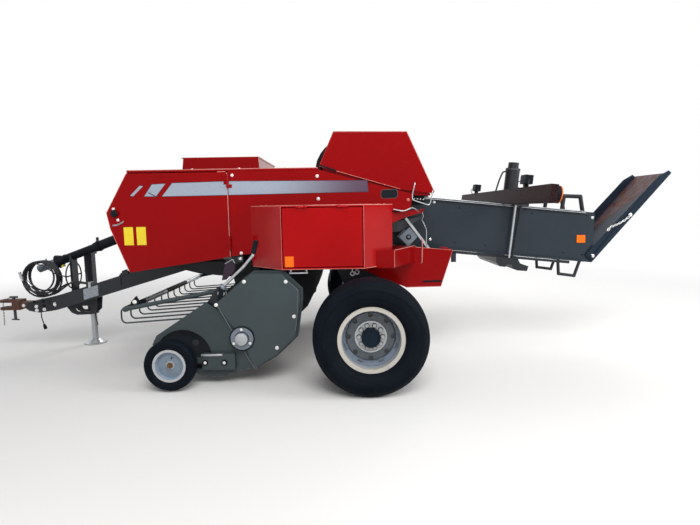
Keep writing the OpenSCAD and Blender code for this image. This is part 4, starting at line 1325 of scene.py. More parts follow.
@dataclass
class GaugeWheel(Assembly):
    """A gauge wheel with its smooth tyre, pressed rim and nut."""

    side: Side
    centre: Point3 = (-1.389, 1.06, 0.188)
    # The disc's and the barrel's bluish greys are painted sky reflection.
    disc: Colour = (0.18, 0.23, 0.29)
    disc_from: float = 0.03
    disc_to: float = 0.092
    disc_depth: float = 0.026
    lip: Colour = (0.42, 0.43, 0.44)
    barrel: Colour = (0.3, 0.38, 0.47)
    nut_size: float = 0.034
    nut_height: float = 0.02
    axle_end: Outline = ((0.0, 0.03), (0.008, 0.03), (0.008, 0.048), (0.0, 0.05))
    valve: Outline = ((0.0045, 0.0), (0.0045, 0.016), (0.003, 0.018), (0.0, 0.018))
    valve_at: Point3 = (0.012, 0, 0.052)

    def build(self) -> None:
        """Finish the tyre and its pressed rim."""
        side = self.side
        body = side.own("gauge_wheel")
        x, y, z = self.centre
        middle = place(x, side.value * y, z)
        dress(RUBBER, side.own("gauge_tyre"))
        paint = Rim(f"gauge_rim_{side.word}_paint", "silver_paint", (x, side.value * y, z), self.disc,
                    self.disc_from, self.disc_to, self.disc_depth, self.lip, self.barrel)
        dress(paint, side.own("gauge_rim"))
        nut = Mould(side.own("gauge_nut"), BRASS)
        nut.bolt(middle + side.out * 0.016, side.out, self.nut_size, self.nut_height)
        nut.turned(self.axle_end, middle, side.out, 12, closed=False)
        nut.cast(body)
        self.knob(side.own("gauge_valve"), DARK_STEEL, body, self.valve,
                  middle + side.out * 0.006 + Vector(self.valve_at), side.out)


@dataclass
class Hood(Assembly):
    """Panels, doors and covers with painted highlight lines along their edges, and their stripes, plates,
    latches and bolts.
    """

    panel_y: float = 0.70
    edge_y: float = panel_y - 0.002
    cheek_y: float = panel_y - 0.012
    wire_y: float = 0.707
    bail_y: float = 0.713
    stop_y: float = 0.71
    box_y: float = 0.948
    box_top: float = 1.2735
    box_low: float = 0.827
    guard_y: float = 0.449
    seam_x: float = -1.0335
    roof_z: float = 1.552
    edge_r: float = 0.0028
    foil: float = 0.0012
    outline_width: float = 0.004
    seam_xs: Point2 = (-1.031, -1.025)
    stripe: Outline = ((-1.52, 1.36), (-1.44, 1.455), (-1.031, 1.462), (-1.031, 1.363))
    stripe_rear: Outline = ((-1.025, 1.363), (-1.025, 1.462), (0.004, 1.452), (0.012, 1.372))
    short_stripe: Outline = ((-1.651, 1.362), (-1.591, 1.448), (-1.491, 1.452), (-1.566, 1.36))
    slash: Outline = ((-1.757, 1.368), (-1.681, 1.44), (-1.657, 1.437), (-1.735, 1.364))
    notch: Outline = ((-1.624, 1.386), (-1.62, 1.392), (-1.562, 1.36), (-1.571, 1.358))
    yellow_xs: Point2 = (-1.823, -1.728)
    yellow_width: float = 0.07
    yellow_z: Point2 = (1.0, 1.135)
    badge_x: Point2 = (0.106, 0.232)
    badge_z: Point2 = (1.318, 1.384)
    stop_parts: tuple[tuple[Outline, float, float], ...] = (
        (((-1.097, 0.893), (-0.99, 0.912), (-0.94, 0.9), (-0.942, 0.86), (-1.001, 0.84)), 0.655, 0.678),
        (((-0.978, 0.9), (-0.975, 0.866), (-0.936, 0.866), (-0.938, 0.904)), 0.678, 0.71),
        (((-1.085, 0.896), (-1.085, 0.882), (-1.02, 0.884), (-1.02, 0.897)), 0.672, 0.702))
    chain_ends: Path = ((-1.898, 0.704, 1.15), (-1.819, 0.704, 1.178))
    twine_eyes: tuple[Point2, ...] = ((-0.115, 0.785), (-0.083, 0.795))
    twine_eye: Outline = ((0.012, -0.004), (0.0175, -0.004), (0.0175, 0.004), (0.012, 0.004))
    raised_box: tuple[Point2, ...] = ((-1.458, -0.418), (-0.842, -0.418), (-0.842, 0.418), (-1.458, 0.418))
    # Lines in the lighter red along the door, seams, roof, cover, guard, step and twine box: painted
    # highlights on the edges.
    edges: tuple[Piece, ...] = (
        Bend("edge_door", HIGHLIT_RED, edge_r, ((-1.8, edge_y, 0.80), (-1.922, edge_y, 1.124),
                                         (-1.9435, edge_y, 1.244), (-1.7775, edge_y, 1.5295)), body="door"),
        Bend("edge_seam", HIGHLIT_RED, 0.0035, ((seam_x, edge_y, 1.527), (seam_x, edge_y, 0.903)), body="door"),
        Bend("edge_roof", HIGHLIT_RED, 0.0035, ((-1.77, edge_y, roof_z), (-0.36, edge_y, roof_z))),
        Bend("edge_cover", HIGHLIT_RED, edge_r, ((0.252, cheek_y, 1.387), (-0.346, cheek_y, 1.5625),
                                          (-0.239, cheek_y, 1.81), (0.3, cheek_y, 1.803),
                                          (0.504, cheek_y, 1.366)), body="knotter_cover"),
        Bend("edge_guard", HIGHLIT_RED, edge_r, ((0.398, guard_y, 0.931), (0.699, guard_y, 0.902),
                                          (0.606, guard_y, 0.609), (0.324, guard_y, 0.605))),
        Bend("edge_step", HIGHLIT_RED, 0.0035, ((0.192, 0.846, 0.943), (0.392, 0.45, 0.943))),
        Bend("edge_step_front", HIGHLIT_RED, edge_r, ((0.191, 0.848, 0.82), (0.191, 0.848, 0.94))),
        Bend("edge_box_top", HIGHLIT_RED, 0.004, ((-0.86, 0.704, box_top), (-0.609, box_y, box_top),
                                           (-0.031, box_y, box_top), (0.188, 0.704, box_top))),
        Bend("edge_box_front", HIGHLIT_RED, 0.002, ((-0.609, 0.949, 0.83), (-0.609, 0.949, box_top))),
        Bend("edge_box_rear", HIGHLIT_RED, 0.002, ((-0.031, 0.949, 0.83), (-0.031, 0.949, box_top))),
        Bend("edge_box_low", HIGHLIT_RED, 0.003, ((-0.86, 0.704, box_low), (-0.609, box_y, box_low),
                                           (-0.031, box_y, box_low), (0.188, 0.704, box_low))))
    fittings: tuple[Piece, ...] = (
        BoltRow("panel_bolts", 0.02, ((-0.996, panel_y, 1.505), (-0.365, panel_y, 1.49),
                                      (-0.36, panel_y, 1.322), (-0.95, panel_y, 0.925))),
        # The stud here and the twine box's bolts below are in the lighter red: painted highlight.
        BoltRow("panel_stud", 0.02, ((0.31, panel_y, 1.306),), HIGHLIT_RED),
        Sheet("panel_flange", RED, ((-0.325, 1.5), (-0.325, 1.562), (0.25, 1.392), (0.48, 1.353),
                                    (0.48, 1.335), (0.25, 1.345)), 0.662, 0.668),
        BoltRow("box_bolts", 0.016, ((-0.775, 0.755, 1.275), (-0.735, 0.793, 1.275), (0.08, 0.8, 1.275),
                                     (0.125, 0.755, 1.275)), HIGHLIT_RED, upwards=True),
        Knob("latch_knob", PLASTIC, ((0.017, 0.0), (0.017, 0.006), (0.025, 0.009), (0.027, 0.02),
                                     (0.02, 0.028), (0.0, 0.03)), (-1.879, panel_y, 1.238), "door"),
        BoltRow("latch_pin", 0.018, ((-1.89, panel_y, 1.272), (-1.861, panel_y, 1.19)), body="door"),
        # This red bracket is given the dark purple: painted shade.
        Sheet("seam_plate", DARK_PRINT_AND_SHADE, ((-1.074, 0.88), (-0.998, 0.88), (-1.015, 0.785), (-1.08, 0.722),
                                      (-1.115, 0.718)), 0.664, 0.67, 0.001),
        Bend("seam_angle", ZINC, 0.0035, ((-1.073, stop_y, 0.849), (-1.014, stop_y, 0.882),
                                          (-1.0, stop_y, 0.854)), 0.006),
        BoltRow("seam_bolts", 0.018, ((-0.956, stop_y, 0.885),)),
        Sheet("feed_wall", FLANK, ((-1.62, 0.85), (-0.86, 0.831), (-0.86, 0.7), (-0.99, 0.63),
                                   (-1.06, 0.64), (-1.08, 0.715), (-1.349, 0.745), (-1.56, 0.8)),
              0.45, 0.454),
        Bend("guide_wire", DARK_STEEL, 0.003, ((-0.275, 0.9, 0.83), (-0.276, 0.9, 0.78),
                                               (-0.278, 0.9, 0.735))))
    corner: tuple[Piece, ...] = (
        Flat("corner_gusset", RED, ((0.19, 0.69, 1.215), (0.19, 0.69, 1.135), (0.30, 0.61, 1.175),
                                    (0.445, 0.494, 1.208), (0.465, 0.478, 1.236)), 0.004, 0.001),
        Flat("corner_bar", ZINC, ((0.312, 0.446, 1.16), (0.328, 0.446, 1.172), (0.53, 0.446, 0.905),
                                  (0.51, 0.446, 0.897)), 0.005, 0.001),
        Bend("trip_wire", ZINC, 0.0042, ((0.2, wire_y, 1.237), (0.24, wire_y, 1.228), (0.275, wire_y, 1.224),
                                         (0.31, wire_y, 1.235), (0.338, 0.7, 1.246), (0.36, 0.68, 1.24),
                                         (0.385, 0.64, 1.226), (0.402, 0.6, 1.216)), None),
        Bend("stop_wire", ZINC, 0.0042, ((0.446, 0.48, 1.212), (0.458, 0.47, 1.174), (0.449, 0.46, 1.15),
                                         (0.47, 0.455, 1.107), (0.486, 0.452, 1.058), (0.486, 0.45, 0.977),
                                         (0.492, 0.449, 0.93)), None),
        # The stay is in the lighter red: painted highlight.
        Bend("red_stay", HIGHLIT_RED, 0.005, ((0.453, 0.447, 1.0), (0.453, 0.458, 0.96), (0.45, 0.458, 0.81),
                                       (0.445, 0.448, 0.80)), 0.02),
        Bend("cover_bail", ZINC, 0.0045, ((0.36, 0.688, 1.432), (0.36, 0.712, 1.431), (0.34, bail_y, 1.35),
                                          (0.338, bail_y, 1.305), (0.457, bail_y, 1.264),
                                          (0.472, bail_y, 1.275), (0.491, 0.712, 1.37),
                                          (0.491, 0.688, 1.372)), 0.016, "knotter_cover"),
        Sheet("yoke_plate", SHEET_ZINC, ((0.353, 1.093), (0.418, 1.014), (0.343, 0.935), (0.269, 1.017)),
              0.43, 0.438, 0.001),
        Knob("yoke_washer", PLASTIC, ((0.021, 0.0), (0.021, 0.005), (0.018, 0.007), (0.0, 0.007)),
             (0.345, 0.438, 1.013)),
        BoltRow("yoke_bolt", 0.018, ((0.345, 0.445, 1.013),), SHEET_ZINC),
        Sheet("knotter_shield", PLASTIC, ((0.34, 1.362), (0.47, 1.356), (0.485, 1.27), (0.34, 1.27)),
              0.4, 0.404),
        BoltRow("knotter_nuts", 0.011,
                tuple((0.372 + 0.024 * k, 0.404, 1.322 - 0.002 * k) for k in range(5))),
        # The fold takes the lighter copy of the red paint: painted light on its face.
        Flat("guard_fold", LIT_RED, ((0.6, 0.4, 0.927), (0.66, 0.4, 0.921), (0.7, guard_y, 0.9),
                                     (0.64, guard_y, 0.906)), 0.002),
        Sheet("guard_wing", RED, ((-0.059, 0.769), (0.0, 0.8), (0.327, 0.8), (0.327, 0.607), (0.322, 0.606),
                                  (0.184, 0.658)), 0.444, guard_y),
        Sheet("rail_block", BLACK, ((0.731, 0.783), (0.731, 0.87), (0.77, 0.865), (0.77, 0.783)),
              0.235, 0.262, 0.002),
        # Black sheet at the cover's front corner: painted shade of the gap there.
        Flat("cover_corner", PLASTIC, ((-0.355, panel_y, 1.566), (-0.335, panel_y, 1.572),
                                       (-0.22, panel_y, 1.532), (-0.225, panel_y, 1.522)), 0.002),
        # A thin dark strip on the lower guard.
        Sheet("guard_slot", PLASTIC, ((0.452, 0.642), (0.456, 0.657), (0.612, 0.66), (0.609, 0.644)),
              guard_y, 0.4515))

    def build(self) -> None:
        """Finish the panels and add what is on them."""
        dress(RED, "hood_top", "side_left", "side_right", "door_left", "door_right", "knotter_cover",
              "lower_guards", edge=0.003)
        # The twine boxes and lids take the lighter copy of the red paint: painted light.
        dress(LIT_RED, "twine_box_left", "twine_box_right", "twine_lid_left", "twine_lid_right", edge=0.003)
        dress(RED, "flywheel")
        dress(PLASTIC, "knotter_fan")
        dress(CAST, "gearbox")
        dress(DARK_STEEL, "knotters", "needle_drive")
        dress(AMBER, "lid_reflector_left", "lid_reflector_right")
        for side in Side:
            for piece in (*self.edges, *self.fittings, *self.corner):
                piece.build(side)
            self.stripes(side)
            self.plates(side)
            self.door_parts(side)
            self.seam_stop(side)
            self.box_parts(side)
        self.roof()

    def sticker(self, name: str, finish: Finish, side: Side, outline: Outline, body: str,
                lift: float = 0.0) -> None:
        """Stick a thin sheet on a side panel.

        Args:
            name: The piece's name, without its side.
            finish: Its finish.
            side: The machine's side.
            outline: Its outline in X and Z.
            body: The body that it is on.
            lift: How much further its face stands out.
        """
        Sheet(name, finish, outline, self.panel_y - 0.0005, self.panel_y + lift + self.foil,
              body=body).build(side)

    def stripes(self, side: Side) -> None:
        """Stick the stripe in its pieces, each on a dark outline, on the door and the panel behind.

        Args:
            side: The machine's side.
        """
        for name, outline, body in (("front", self.stripe, "door"), ("short", self.short_stripe, "door"),
                                    ("slash", self.slash, "door"), ("rear", self.stripe_rear, "chassis")):
            x0, z0 = (sum(p[i] for p in outline) / 4 for i in (0, 1))
            grow = self.outline_width
            grown = tuple((x + (0 if x in self.seam_xs else math.copysign(grow, x - x0)),
                           z + math.copysign(grow, z - z0)) for x, z in outline)
            self.sticker(f"stripe_outline_{name}", DARK_PRINT_AND_SHADE, side, grown, body, -0.0006)
            self.sticker(f"stripe_{name}", FOIL, side, outline, body)
        self.sticker("stripe_notch", DARK_PRINT_AND_SHADE, side, self.notch, "door", 0.0004)

    def plates(self, side: Side) -> None:
        """Stick the blank yellow plates on the door and the blank dark badge behind.

        Args:
            side: The machine's side.
        """
        low, high = self.yellow_z
        for i, x in enumerate(self.yellow_xs):
            end = x + self.yellow_width
            plate = ((x, low), (x, high), (end, high), (end, low))
            self.sticker(f"yellow_plate_{i + 1}", YELLOW, side, plate, "door")
        (a, b), (c, d) = self.badge_x, self.badge_z
        octagon = ((a + 0.014, c), (a, c + 0.012), (a, d - 0.012), (a + 0.014, d), (b - 0.014, d + 0.003),
                   (b, d - 0.01), (b, c + 0.014), (b - 0.014, c + 0.002))
        self.sticker("badge_rim", DARK_STEEL, side, octagon, "chassis")
        inner = tuple((x * 0.94 + 0.06 * (a + b) / 2, z * 0.9 + 0.1 * (c + d) / 2) for x, z in octagon)
        self.sticker("badge", PLASTIC, side, inner, "chassis", 0.001)

    def door_parts(self, side: Side) -> None:
        """Put the hinge's strap on the door, and the safety chain at its front edge.

        Args:
            side: The machine's side.
        """
        s, door = side.value, side.own("door")
        # The hinge strap is in the lighter red: painted highlight.
        strap = Mould(side.own("hinge_strap"), HIGHLIT_RED)
        strap.block((-1.105, s * 0.674, 1.5305), (-1.045, s * 0.699, 1.5365))
        strap.cast(door, bevel=0.0015)
        start, end = on(side, *self.chain_ends)
        Mould(side.own("latch_chain"), ZINC).chain(start, end, 7, 0.0022, 0.008).cast(door)

    def seam_stop(self, side: Side) -> None:
        """Hang the dark stop under the seam of door and panel.

        Args:
            side: The machine's side.
        """
        stop = Mould(side.own("seam_stop"), DARK_STEEL)
        for outline, inner, outer in self.stop_parts:
            stop.slab(outline, side.value * inner, side.value * outer)
        stop.cast("chassis", bevel=0.002)

    def box_parts(self, side: Side) -> None:
        """Hang the zinc bar and the twine's two eyes under the twine box.

        Args:
            side: The machine's side.
        """
        s = side.value
        bar = Mould(side.own("box_bar"), ZINC)
        bar.block((-0.565, s * 0.9, 0.794), (-0.431, s * 0.93, 0.803))
        for x in (-0.56, -0.448):
            bar.block((x, s * 0.905, 0.80), (x + 0.012, s * 0.909, 0.827))
        bar.cast("chassis", bevel=0.001)
        eyes = Mould(side.own("twine_eyes"), BOLT)
        low, high = sorted((s * 0.897, s * 0.903))
        for x, z in self.twine_eyes:
            eyes.turned(self.twine_eye, place(x, s * 0.9, z), Vector((0.2, 1, 0.3)), 20)
            eyes.block((x - 0.003, low, z + 0.014), (x + 0.003, high, 0.83))
        eyes.cast("chassis")

    def roof(self) -> None:
        """Set the roof's bolts and the lighter red lines along the raised box's edges, which are painted
        highlights.
        """
        top = [place(x, y, 1.6685) for x, y in self.raised_box]
        self.rod("edge_raised_box", HIGHLIT_RED, "chassis", 0.003, top, closed=True)
        places = [place(x, y, 1.555) for y in (-0.66, 0.66) for x in (-1.65, -1.3, -0.95, -0.6)]
        self.bolts("roof_bolts", "chassis", UP, 0.018, places)


@dataclass
class Chamber(Assembly):
    """Bale chamber with its rails, clamp frame, lamps and folded chute."""

    slope: float = 6.0
    end: Point2 = (1.935, 0.759)
    plate_y: float = 0.2405
    rail_y: float = 0.262
    hole: Outline = ((0.0065, -0.001), (0.0065, 0.0015), (0.0, 0.0012))
    holes: tuple[Point2, ...] = ((1.02, 0.918), (1.689, 0.846), (1.847, 0.827), (1.412, 1.184),
                                 (1.875, 1.159), (0.80, 1.24), (0.76, 0.95))
    reflector: Outline = ((1.796, 0.995), (1.869, 0.994), (1.871, 0.928), (1.797, 0.929))
    # The top line is a zinc rod on the rail; the line named shadow is a zinc line painted as the highlight on
    # the plate's top flange edge.
    rail_edges: tuple[tuple[str, float], ...] = (("top", 0.4225), ("shadow", 0.411))
    rail_span: Point2 = (-1.58, -0.12)
    low_rail: Outline = ((0.236, -0.026), (0.262, -0.026), (0.262, -0.003), (0.236, -0.003))
    low_rail_span: Point2 = (-1.22, -0.2)
    tie_u: float = -0.727
    tie_radius: float = 0.0112
    lamp_ring: Outline = ((0.052, 0.0), (0.0585, 0.0), (0.0585, 0.007), (0.052, 0.009))
    work_lamp_y: float = 0.69
    glass_z: Point2 = (0.572, 0.628)
    # Along the chamber, in from the lamp and up.
    lamp_lead: Path = ((-0.838, 0.0, 0.59), (-0.862, 0.01, 0.582), (-0.868, 0.02, 0.555),
                       (-0.85, 0.03, 0.536), (-0.83, 0.03, 0.538))
    band: Outline = ((0.0595, 0.0), (0.0635, 0.0), (0.0635, 0.012), (0.0595, 0.012))
    bands: Point2 = (0.515, 0.735)
    pipe: tuple[Point2, ...] = ((-0.742, 0.72), (-0.775, 0.72), (-0.80, 0.64), (-0.82, 0.535))
    # Start, end, number of links, thickness and sag of each length of the chute's chain.
    chains: tuple[tuple[Point3, Point3, int, float, float], ...] = (
        ((2.075, 0.262, 1.062), (2.238, 0.262, 1.155), 10, 0.0028, 0.012),
        ((2.072, 0.262, 1.062), (2.05, 0.262, 1.03), 2, 0.003, 0.0))
    pieces: tuple[Piece, ...] = (
        BoltRow("chamber_bolts", 0.019, ((0.587, plate_y, 1.292), (0.553, plate_y, 0.977),
                                         (1.925, plate_y, 1.14))),
        BoltRow("chute_bolts", 0.026, ((1.932, 0.2565, 0.816), (2.236, 0.2565, 1.158)), body="chute"))

    def at(self, u: float, y: float, v: float) -> Vector:
        """Turn distance from the rear end, place across and height above the floor into a place."""
        c, s = math.cos(math.radians(self.slope)), math.sin(math.radians(self.slope))
        return place(self.end[0] + u * c + v * s, y, self.end[1] - u * s + v * c)

    def build(self) -> None:
        """Finish the chamber's nodes and add its small parts."""
        dress(SLATE, "plunger_case", "chamber_left", "chamber_right", edge=0.002)
        dress(CHUTE, "chute", edge=0.002)
        dress(ZINC, "chamber_rails")
        dress(BLACK, "density_frame", "density_cylinder")
        dress(PLASTIC, "lamp_housings")
        dress(BOARD, "light_bar")
        dress(RED_LENS, "lamps")
        amber = Mould("reflector_plates", AMBER)
        for side in Side:
            amber.slab(self.reflector, side.value * 0.2395, side.value * 0.2465)
        amber.cast("chassis", bevel=0.002, replaces=("reflectors",))
        for side in Side:
            for piece in self.pieces:
                piece.build(side)
            self.sides(side)
            self.lamps(side)
            self.work_lamp(side)
            chain = Mould(side.own("chute_chain"), BOLT)
            for start, end, links, wire, sag in self.chains:
                chain.chain(*on(side, start, end), links, wire, sag)
            chain.cast("chute")
        self.cylinder()

    def sides(self, side: Side) -> None:
        """Set the side's holes, the zinc lines along the rail edges, of which the one named shadow is a
        painted highlight on the flange's edge, and the tie rod.

        Args:
            side: The machine's side.
        """
        s = side.value
        spots = [place(x, s * self.plate_y, z) for x, z in self.holes]
        self.rings(side.own("chamber_holes"), PLASTIC, "chassis", self.hole, spots, side.out, 14,
                   closed=False)
        for name, v in self.rail_edges:
            ends = [self.at(u, s * 0.2615, v) for u in self.rail_span]
            self.rod(side.own(f"rail_edge_{name}"), ZINC, "chassis", 0.0032, ends)
        rail = Mould(side.own("low_rail"), BLACK)
        rail.loft([[self.at(u, s * y, v) for y, v in self.low_rail] for u in self.low_rail_span])
        rail.cast("chassis", bevel=0.002)
        ends = [self.at(u, s * self.rail_y, -0.004) for u in (-0.66, -0.315)]
        self.rod(side.own("low_rail_edge"), ZINC, "chassis", 0.002, ends)
        tie = Mould(side.own("tie_rod"), ZINC)
        tie.tube([self.at(self.tie_u, s * 0.285, v) for v in (-0.036, 0.424)], self.tie_radius, 20)
        tie.cast("chassis", smooth=60)

    def lamps(self, side: Side) -> None:
        """Put the amber ring round the tail lamp at the cross bar's end.

        Args:
            side: The machine's side.
        """
        back = (self.at(0.0, 0, 0) - self.at(-1.0, 0, 0)).normalized()
        centre = self.at(-0.75, side.value * 1.125, 0.482)
        self.rings(side.own("lamp_ring"), AMBER, "chassis", self.lamp_ring, [centre], back, 32)

    def work_lamp(self, side: Side) -> None:
        """Put the work lamp's bracket, lead and glass on the cross bar.

        Args:
            side: The machine's side.
        """
        s = side.value
        y = s * self.work_lamp_y
        bracket = Mould(side.own("work_lamp_bracket"), DARK_STEEL)
        for cheek in (y - 0.051, y + 0.051):
            bracket.tube([self.at(-0.81, cheek, 0.6), self.at(-0.81, cheek, 0.553), self.at(-0.81, y, 0.548)],
                         0.003, 6)
        bracket.cast("chassis")
        lead = [self.at(u, y - s * inward, v) for u, inward, v in self.lamp_lead]
        self.rod(side.own("work_lamp_lead"), HOSE, "chassis", 0.003, eased(lead))
        glass = Mould(side.own("work_lamp_glass"), CLEAR)
        low, high = self.glass_z
        glass.loft([[self.at(u, y + a * 0.044, v) for a, v in ((-1, low), (1, low), (1, high), (-1, high))]
                    for u in (-0.7795, -0.777)])
        glass.cast("chassis", bevel=0.001)

    def cylinder(self) -> None:
        """Band the cylinder and lead its pipe down to the cross bar."""
        up = (self.at(0, 0, 1) - self.at(0, 0, 0)).normalized()
        feet = [self.at(-0.69, 0, v) for v in self.bands]
        self.rings("cylinder_bands", DARK_STEEL, "chassis", self.band, feet, up, 40)
        pipe = [self.at(u, 0, v) for u, v in self.pipe]
        self.rod("cylinder_pipe", HOSE, "chassis", 0.007, rounded(pipe, 0.03, 6))


@dataclass
class Running(Assembly):
    """Frame, drawbar, driveline and jack."""

    plate_y: float = 0.057
    hole: Outline = ((0.0125, -0.001), (0.0125, 0.0015), (0.0, 0.0012))
    holes: tuple[Point2, ...] = ((-2.977, 0.458), (-2.894, 0.424), (-2.896, 0.463), (-2.707, 0.459))
    beam_front: Point3 = (-2.78, 0.065, 0.444)
    beam_rear: Point3 = (-1.4786, 0.37, 0.829)
    beam_half: float = 0.0308
    blank_plate: Outline = ((-2.465, -0.046), (-2.315, -0.046), (-2.315, 0.046), (-2.465, 0.046))
    # Front end, rear end, lower and upper edge of each part of the bracket on the beam.
    bracket: tuple[tuple[float, float, float, float], ...] = (
        (-2.085, -2.01, 0.055, 0.085), (-2.07, -2.03, 0.08, 0.1), (-2.098, -2.085, -0.02, 0.075))
    pin_x: float = -3.2
    pin: Outline = ((0.0, 0.285), (0.011, 0.285), (0.012, 0.29), (0.012, 0.5), (0.0, 0.5))
    pin_bars: tuple[tuple[Point3, Point3, float], ...] = (
        ((-3.232, 0, 0.29), (-3.168, 0, 0.287), 0.007), ((-3.235, 0, 0.497), (-3.165, 0, 0.497), 0.009))
    keeper: Path = ((-3.236, -0.01, 0.492), (-3.262, -0.052, 0.47), (-3.266, -0.054, 0.25))
    keeper_links: tuple[int, int] = (3, 17)
    shaft_ends: tuple[Point3, Point3] = ((-2.8, 0, 0.802), (-1.7686, 0, 1.175))
    # Distance along the driveline and radius of the guard below each ring.
    guard_rings: tuple[Point2, ...] = ((0.11, 0.0365), (0.41, 0.0385), (0.44, 0.046), (0.7, 0.0455))
    lock: tuple[Point3, Point3] = ((-2.75, -0.02, 0.768), (-2.715, 0.02, 0.79))
    prop_rod: Path = ((-2.532, 0.0, 0.734), (-2.452, 0.0, 0.224))
    pieces: tuple[Piece, ...] = (
        BoltRow("drawbar_bolts", 0.026, ((-2.963, plate_y, 0.417), (-2.893, plate_y, 0.389),
                                         (-2.961, plate_y, 0.382))),
        BoltRow("hitch_bolts", 0.024, ((-3.085, 0.0447, 0.425),)))

    def build(self) -> None:
        """Finish the nodes and add the drawbar's small parts."""
        dress(BLACK, "main_frame", "axle", "jack", "pto_cradle")
        dress(BLACK, "drawbar", edge=0.003)
        dress(RUSTY, "hitch")
        dress(ZINC, "jack_leg")
        dress(SHEET_ZINC, "pto_shaft")
        dress(PLASTIC, "pto_guard")
        for side in Side:
            for piece in self.pieces:
                piece.build(side)
            self.drawbar_side(side)
        self.hitch_pin()
        self.driveline()
        self.rod("prop_rod", DARK_STEEL, "chassis", 0.005, [place(*p) for p in self.prop_rod])

    def beam(self, side: Side, x: float, out: float, up: float) -> Vector:
        """Find a place on a drawbar beam's outer face.

        Args:
            side: The side of the machine.
            x: Distance behind the axle.
            out: Distance out of the face.
            up: Height above the beam's middle line.

        Returns:
            The place.
        """
        t = (x - self.beam_front[0]) / (self.beam_rear[0] - self.beam_front[0])
        y = self.beam_front[1] + t * (self.beam_rear[1] - self.beam_front[1])
        z = self.beam_front[2] + t * (self.beam_rear[2] - self.beam_front[2])
        return place(x, side.value * (y + self.beam_half + out), z + up)

    def drawbar_side(self, side: Side) -> None:
        """Set the beam's bolt, the side plate's holes, the blank plate and the beam's bracket.

        Args:
            side: The machine's side.
        """
        self.bolts(side.own("beam_bolt"), "chassis", side.out, 0.03, [self.beam(side, -2.765, 0.0, -0.006)])
        spots = [place(x, side.value * self.plate_y, z) for x, z in self.holes]
        self.rings(side.own("drawbar_holes"), PLASTIC, "chassis", self.hole, spots, side.out, 18,
                   closed=False)
        plate = Mould(side.own("blank_plate"), WHITE)
        plate.loft([[self.beam(side, x, out, up) for x, up in self.blank_plate] for out in (-0.002, 0.0015)])
        plate.cast("chassis", bevel=0.0008)
        clip = Mould(side.own("beam_bracket"), BLACK)
        for a, b, low, high in self.bracket:
            clip.loft([[self.beam(side, x, out, up) for x, up in ((a, low), (b, low), (b, high), (a, high))]
                       for out in (-0.03, 0.006)])
        clip.cast("chassis", bevel=0.002)

    def hitch_pin(self) -> None:
        """Put the pin with its handle through the hitch, and hang its keeper chain."""
        pin = Mould("hitch_pin", DARK_STEEL)
        pin.turned(self.pin, place(self.pin_x, 0, 0), UP, 16, closed=False)
        for start, end, radius in self.pin_bars:
            pin.tube([place(*start), place(*end)], radius, 8)
        pin.cast("chassis", smooth=50)
        chain = Mould("keeper_chain", DARK_STEEL)
        for start, end, links in zip(self.keeper, self.keeper[1:], self.keeper_links):
            chain.chain(place(*start), place(*end), links, 0.0015)
        chain.cast("chassis")

    def driveline(self) -> None:
        """Clamp the rings and the yellow lock on the driveline's guard."""
        front, rear = (place(*p) for p in self.shaft_ends)
        along = (rear - front).normalized()
        ring = Mould("guard_ring", PLASTIC)
        for t, r in self.guard_rings:
            ring.turned([(0.035, -0.012), (r + 0.002, -0.012), (r + 0.004, -0.004), (r + 0.004, 0.004),
                         (r + 0.002, 0.012), (0.035, 0.012)], front + along * t, along, 40)
        ring.cast("driveline")
        Mould("yellow_lock", YELLOW).block(*self.lock).cast("driveline", bevel=0.002)


